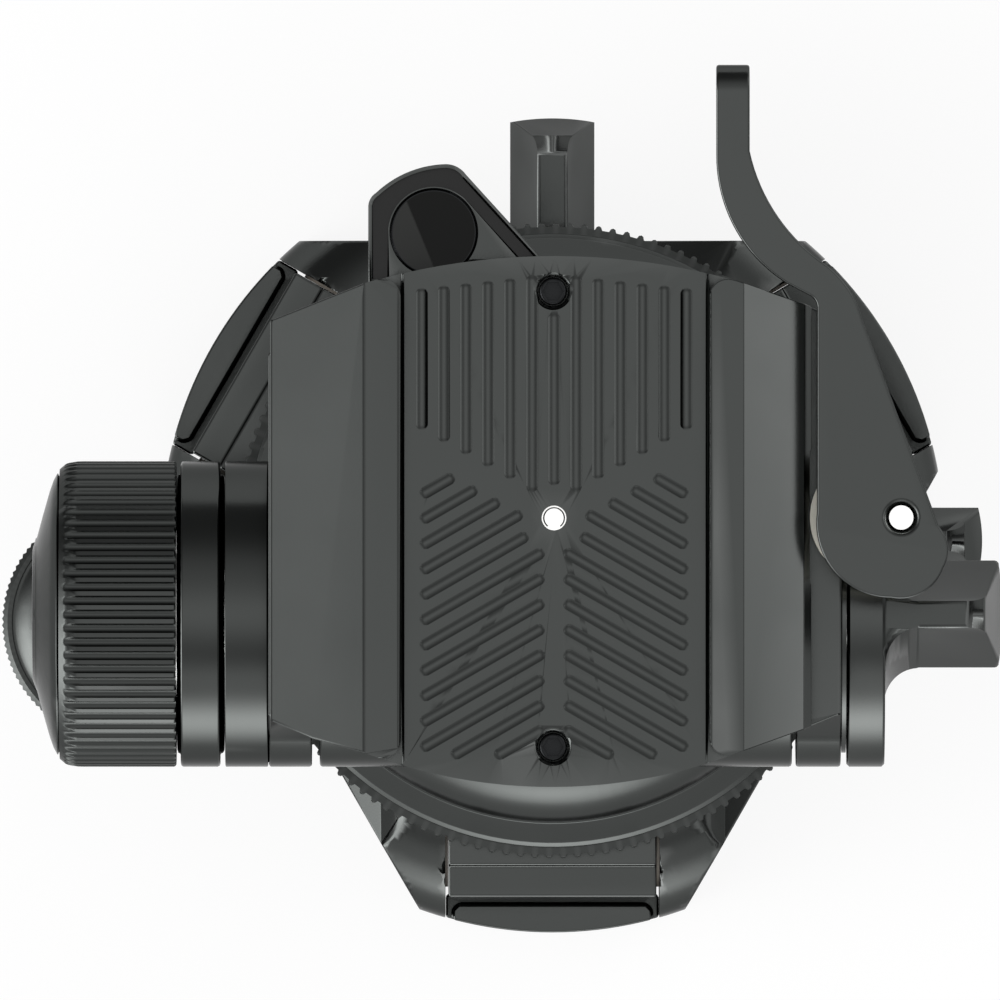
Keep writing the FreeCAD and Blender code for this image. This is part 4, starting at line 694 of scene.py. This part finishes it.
def cutter_maker():
    tree, given = start_maker("ball_ended_cutters", ("Geometry", "NodeSocketGeometry"), ("Radius", "NodeSocketFloat"),
                              ("Steps at an end", "NodeSocketInt"), ("Sides", "NodeSocketInt"),
                              ("Finish", "NodeSocketMaterial"))
    line = add(tree, "GeometryNodeMeshToCurve", {"Mesh": given["Geometry"]}).outputs[0]
    half = given["Steps at an end"]
    count = add(tree, "FunctionNodeIntegerMath", {0: half, 1: 2, 2: 2}, operation="MULTIPLY_ADD").outputs[0]
    stations = add(tree, "GeometryNodeResampleCurve", {"Curve": line, "Count": count}).outputs[0]
    spline = add(tree, "GeometryNodeSplineParameter").outputs
    length = add(tree, "GeometryNodeSplineLength").outputs["Length"]
    along = add(tree, "GeometryNodeInputTangent").outputs[0]
    last = add(tree, "ShaderNodeMath", {0: count, 1: 1}, operation="SUBTRACT").outputs[0]
    from_end = add(tree, "ShaderNodeMath", {0: last, 1: spline["Index"]}, operation="SUBTRACT").outputs[0]
    nearer = add(tree, "ShaderNodeMath", {0: spline["Index"], 1: from_end}, operation="MINIMUM").outputs[0]
    share = add(tree, "ShaderNodeMath", {0: nearer, 1: half}, operation="DIVIDE").outputs[0]
    swing = add(tree, "ShaderNodeMath", {0: share, 1: math.pi / 2}, operation="MULTIPLY").outputs[0]
    rise = add(tree, "ShaderNodeMath", {0: swing}, operation="SINE").outputs[0]
    back = add(tree, "ShaderNodeMath", {0: swing}, operation="COSINE").outputs[0]
    is_far = add(tree, "ShaderNodeMath", {0: spline["Index"], 1: half}, operation="GREATER_THAN").outputs[0]
    sign = add(tree, "ShaderNodeMath", {0: is_far, 1: 2.0, 2: -1.0}, operation="MULTIPLY_ADD").outputs[0]
    bulge = add(tree, "ShaderNodeMath", {0: back, 1: given["Radius"]}, operation="MULTIPLY").outputs[0]
    bulge = add(tree, "ShaderNodeMath", {0: bulge, 1: sign}, operation="MULTIPLY").outputs[0]
    slide = add(tree, "ShaderNodeMath", {0: is_far, 1: spline["Factor"]}, operation="SUBTRACT").outputs[0]
    shift = add(tree, "ShaderNodeMath", {0: slide, 1: length, 2: bulge}, operation="MULTIPLY_ADD").outputs[0]
    offset = add(tree, "ShaderNodeVectorMath", {0: along, "Scale": shift}, operation="SCALE").outputs[0]
    moved = add(tree, "GeometryNodeSetPosition", {"Geometry": stations, "Offset": offset}).outputs[0]
    thin = add(tree, "ShaderNodeMath", {0: rise, 1: THINNEST_SHARE}, operation="MAXIMUM").outputs[0]
    kept = add(tree, "GeometryNodeStoreNamedAttribute", {"Geometry": stations, "Name": "thickness", "Value": thin},
               data_type="FLOAT", domain="POINT").outputs[0]
    tree.links.new(kept, moved.node.inputs["Geometry"])
    thickness = add(tree, "GeometryNodeInputNamedAttribute", {"Name": "thickness"}, data_type="FLOAT").outputs[0]
    ring_shape = add(tree, "GeometryNodeCurvePrimitiveCircle", {"Resolution": given["Sides"],
                                                                "Radius": given["Radius"]})
    tube = add(tree, "GeometryNodeCurveToMesh", {"Curve": moved, "Profile Curve": ring_shape.outputs[0],
                                                 "Scale": thickness}).outputs[0]
    closed = add(tree, "GeometryNodeMergeByDistance", {"Geometry": tube, "Distance": CUTTER_WELD_MM * MM}).outputs[0]
    end_maker(tree, closed, given["Finish"])
    return tree


def groove_cutters():
    guide = bpy.data.meshes.new("groove_lines")
    height = FLOOR - GROOVE_DEPTH + BALL
    ends = [(x * MM, y * MM, height * MM) for line in LINES for x, y in line]
    guide.from_pydata(ends, [(n, n + 1) for n in range(0, len(ends), 2)], [])
    return make_with(cutter_maker(), "groove_cutters", guide, {"Radius": BALL * MM, "Steps at an end": 6, "Sides": 40,
                                                               "Finish": milled})


print("lines to cut along:", len(LINES))

# %% [markdown]
# The clamp's own flat grooves come out first, and the hole that each one leaves is filled level with the floor. The
# long edges are broken while the skin is still simple. Only then are the round grooves cut, and slivers that the
# boolean leaves are joined, so that the skin is closed.

# %% The clamp without its grooves
FLAT_GROOVE_MM = 0.17
SAME_HEIGHT_MM = 0.004
LEVEL_DEGREES = 0.3


def plain_floor(mesh):
    """Takes the flat grooves out of the clamp's skin and closes its floor over them."""
    skin = bmesh.new()
    skin.from_mesh(mesh)
    bottom = (FLOOR - FLAT_GROOVE_MM) * MM
    deep = [face for face in skin.faces
            if any(abs(vert.co.z - bottom) < SAME_HEIGHT_MM * MM for vert in face.verts)]
    bmesh.ops.delete(skin, geom=deep, context="FACES")
    rims = [edge for edge in skin.edges if edge.is_boundary]
    filled = bmesh.ops.holes_fill(skin, edges=rims, sides=0)["faces"]
    bmesh.ops.recalc_face_normals(skin, faces=skin.faces)
    flat = [edge for edge in skin.edges
            if len(edge.link_faces) == 2 and edge.calc_face_angle() < math.radians(LEVEL_DEGREES)]
    bmesh.ops.dissolve_edges(skin, edges=flat, use_verts=False)
    bmesh.ops.dissolve_limit(skin, angle_limit=math.radians(FLAT_DEGREES), verts=skin.verts, edges=skin.edges)
    bmesh.ops.remove_doubles(skin, verts=skin.verts, dist=SLIVER_MM * MM)
    bmesh.ops.triangulate(skin, faces=skin.faces)
    print("grooves filled:", len(filled), "of", len(LINES))
    skin.to_mesh(mesh)
    skin.free()


clamp = stand_in("clamp_body_grooved", merged_copy("clamp_body", join_flats=False))
plain_floor(clamp.data)
break_edges(clamp, 0.22, shortest_mm=3.0)

# %% Cut the round grooves
cutters = groove_cutters()
milling = clamp.modifiers.new("grooves", "BOOLEAN")
milling.operation = "DIFFERENCE"
milling.solver = "EXACT"
milling.object = cutters
settle(clamp, "clamp_body_grooved")
bpy.data.objects.remove(cutters)
seal(clamp)
shade(clamp, FINE_CREASE_DEGREES)
hand_over(clamp, milled, "clamp_body")

# %% [markdown]
# ### Small hardware
# Pins, bushes, springs and the hidden screws keep their CAD shape, because they are turned, coiled or ground to it.
# They take their finish in the slots of their own meshes, which is simpler than a copy that would differ in nothing.

# %% Finish the small hardware
HARDWARE = {
    "ground_steel": polished, "black_screws": oxide, "spring_steel": drawn, "bronze": bronze, "cam_plastic": acetal,
    "friction_lining": lining, "level_cup": oxide, "level_lens": painted_reflection_lens, "anodised_fittings": turned,
}
carried = [node for node in SLOT_OF if node not in DRESSED]
for node in carried:
    frame["nodes"][node].data.materials.clear()
    frame["nodes"][node].data.materials.append(HARDWARE[SLOT_OF[node]])
print("finished in place:", len(carried))

# %% [markdown]
# ## Studio
# The head stands on a white floor in a dim room. Anodised metal shows that room, and so its shape: a broad soft
# window overhead, strong ones low on the left and in front, smaller ones high at the right and far right, and a dim
# wall all round. Each window is a soft patch of the world, given by its direction, its spread and its strength.
#
# The picture's white comes from the floor's own colour and from what it shows to the camera and to mirrors, never
# from more light on the head. The floor ends close to the head at the left and in front, so that the low windows
# there reach its sides. On the other sides it goes on, and the sides of the head that face it mirror it.

# %% World
WINDOWS = [
    ((0.0, 0.0, 1.0), (0.45, 0.45, 0.5), 1.1), ((-0.78, -0.1, 0.6), (0.22, 0.45, 0.25), 0.7),
    ((-0.90, -0.25, 0.38), (0.3, 0.36, 0.2), 6.2), ((-0.98, -0.25, 0.0), (0.4, 0.36, 0.28), 4.5),
    ((-0.83, -0.55, 0.0), (0.25, 0.25, 0.3), 5.0),
    ((0.75, 0.0, 0.66), (0.2, 0.5, 0.2), 1.7), ((0.0, -0.75, 0.66), (0.6, 0.25, 0.2), 0.9),
    ((0.0, -1.0, 0.0), (0.5, 0.5, 0.36), 5.0),
    ((0.0, 0.6, 0.8), (0.5, 0.3, 0.25), 0.3), ((0.68, 0.62, 0.30), (0.30, 0.32, 0.28), 2.3),
]
WALL = 0.15


def studio():
    world = bpy.data.worlds.new("white_studio")
    bpy.context.scene.world = world
    world.use_nodes = True
    tree = world.node_tree
    tree.nodes.clear()
    direction = add(tree, "ShaderNodeTexCoord").outputs["Generated"]
    level = None
    for centre, spread, strength in WINDOWS:
        off = add(tree, "ShaderNodeVectorMath", {0: direction, 1: centre}, operation="SUBTRACT")
        scaled = add(tree, "ShaderNodeVectorMath", {0: off.outputs[0], 1: spread}, operation="DIVIDE")
        square = add(tree, "ShaderNodeVectorMath", {0: scaled.outputs[0], 1: scaled.outputs[0]},
                     operation="DOT_PRODUCT")
        minus = add(tree, "ShaderNodeMath", {0: square.outputs["Value"], 1: -1.0}, operation="MULTIPLY")
        fade = add(tree, "ShaderNodeMath", {0: minus.outputs[0]}, operation="EXPONENT")
        level = add(tree, "ShaderNodeMath", {0: fade.outputs[0], 1: strength, 2: level or WALL},
                    operation="MULTIPLY_ADD").outputs[0]
    glow = add(tree, "ShaderNodeBackground", {"Color": (1, 1, 1, 1), "Strength": level})
    add(tree, "ShaderNodeOutputWorld", {"Surface": glow.outputs[0]})


studio()
print("windows:", len(WINDOWS))

# %% Floor
FLOOR_GLOW = 0.86
FLOOR_LEFT, FLOOR_FRONT, FLOOR_FAR = -0.19, -0.16, 1.5
FLOOR_BELOW_MM = 0.02


def white_floor():
    finish, tree, place = start_finish("white_floor")
    mottle = add(tree, "ShaderNodeTexNoise", {"Vector": place, "Scale": 20.0})
    white = add(tree, "ShaderNodeMix", {"Factor": mottle.outputs["Fac"], "A": light("#707070"), "B": light("#6C6C6C")},
                data_type="RGBA")
    matt = add(tree, "ShaderNodeBsdfDiffuse", {"Color": white.outputs["Result"]})
    rays = add(tree, "ShaderNodeLightPath")
    shine = add(tree, "ShaderNodeMath", {0: rays.outputs["Is Camera Ray"], 1: rays.outputs["Is Glossy Ray"]},
                operation="MAXIMUM")
    shine = add(tree, "ShaderNodeMath", {0: shine.outputs[0], 1: rays.outputs["Is Transmission Ray"]},
                operation="MAXIMUM")
    lift = add(tree, "ShaderNodeMath", {0: shine.outputs[0], 1: FLOOR_GLOW}, operation="MULTIPLY")
    emit = add(tree, "ShaderNodeEmission", {"Strength": lift.outputs[0]})
    end_finish(tree, add(tree, "ShaderNodeAddShader", {0: matt.outputs[0], 1: emit.outputs[0]}))
    mesh = bpy.data.meshes.new("floor")
    mesh.from_pydata([(FLOOR_LEFT, FLOOR_FRONT, 0), (FLOOR_FAR, FLOOR_FRONT, 0), (FLOOR_FAR, FLOOR_FAR, 0),
                      (FLOOR_LEFT, FLOOR_FAR, 0)], [], [(0, 1, 2, 3)])
    mesh.transform(Matrix.Translation((0, 0, cad_low.z - FLOOR_BELOW_MM * MM)))
    mesh.materials.append(finish)
    floor = stand_in("floor", mesh)


white_floor()
print("studio ready")

# %% [markdown]
# ## Camera
# The photograph looks straight down through a very long lens, so nothing leans. The picture is square, and one of
# its thousand pixels is 0.1065 mm at the clamp's floor.

# %% Camera straight above
PIXEL_MM = 0.1065
SENSOR_MM = 36
IMAGE = 1000
PAN_AXIS_PIXEL = (553, 541)
DISTANCE = 4.8

camera = bpy.data.cameras.new("camera")
camera.type = "PERSP"
camera.sensor_width = SENSOR_MM
camera.lens = SENSOR_MM * DISTANCE / (PIXEL_MM * MM * IMAGE)
camera.clip_start = 0.5
camera.clip_end = 20
viewer = bpy.data.objects.new("camera", camera)
bpy.context.scene.collection.objects.link(viewer)
viewer.location = ((IMAGE / 2 - PAN_AXIS_PIXEL[0]) * PIXEL_MM * MM,
                   (PAN_AXIS_PIXEL[1] - IMAGE / 2) * PIXEL_MM * MM,
                   FLOOR * MM + DISTANCE)
bpy.context.scene.camera = viewer
bpy.context.scene.view_settings.view_transform = "Standard"
print("lens in mm:", round(camera.lens, 1))
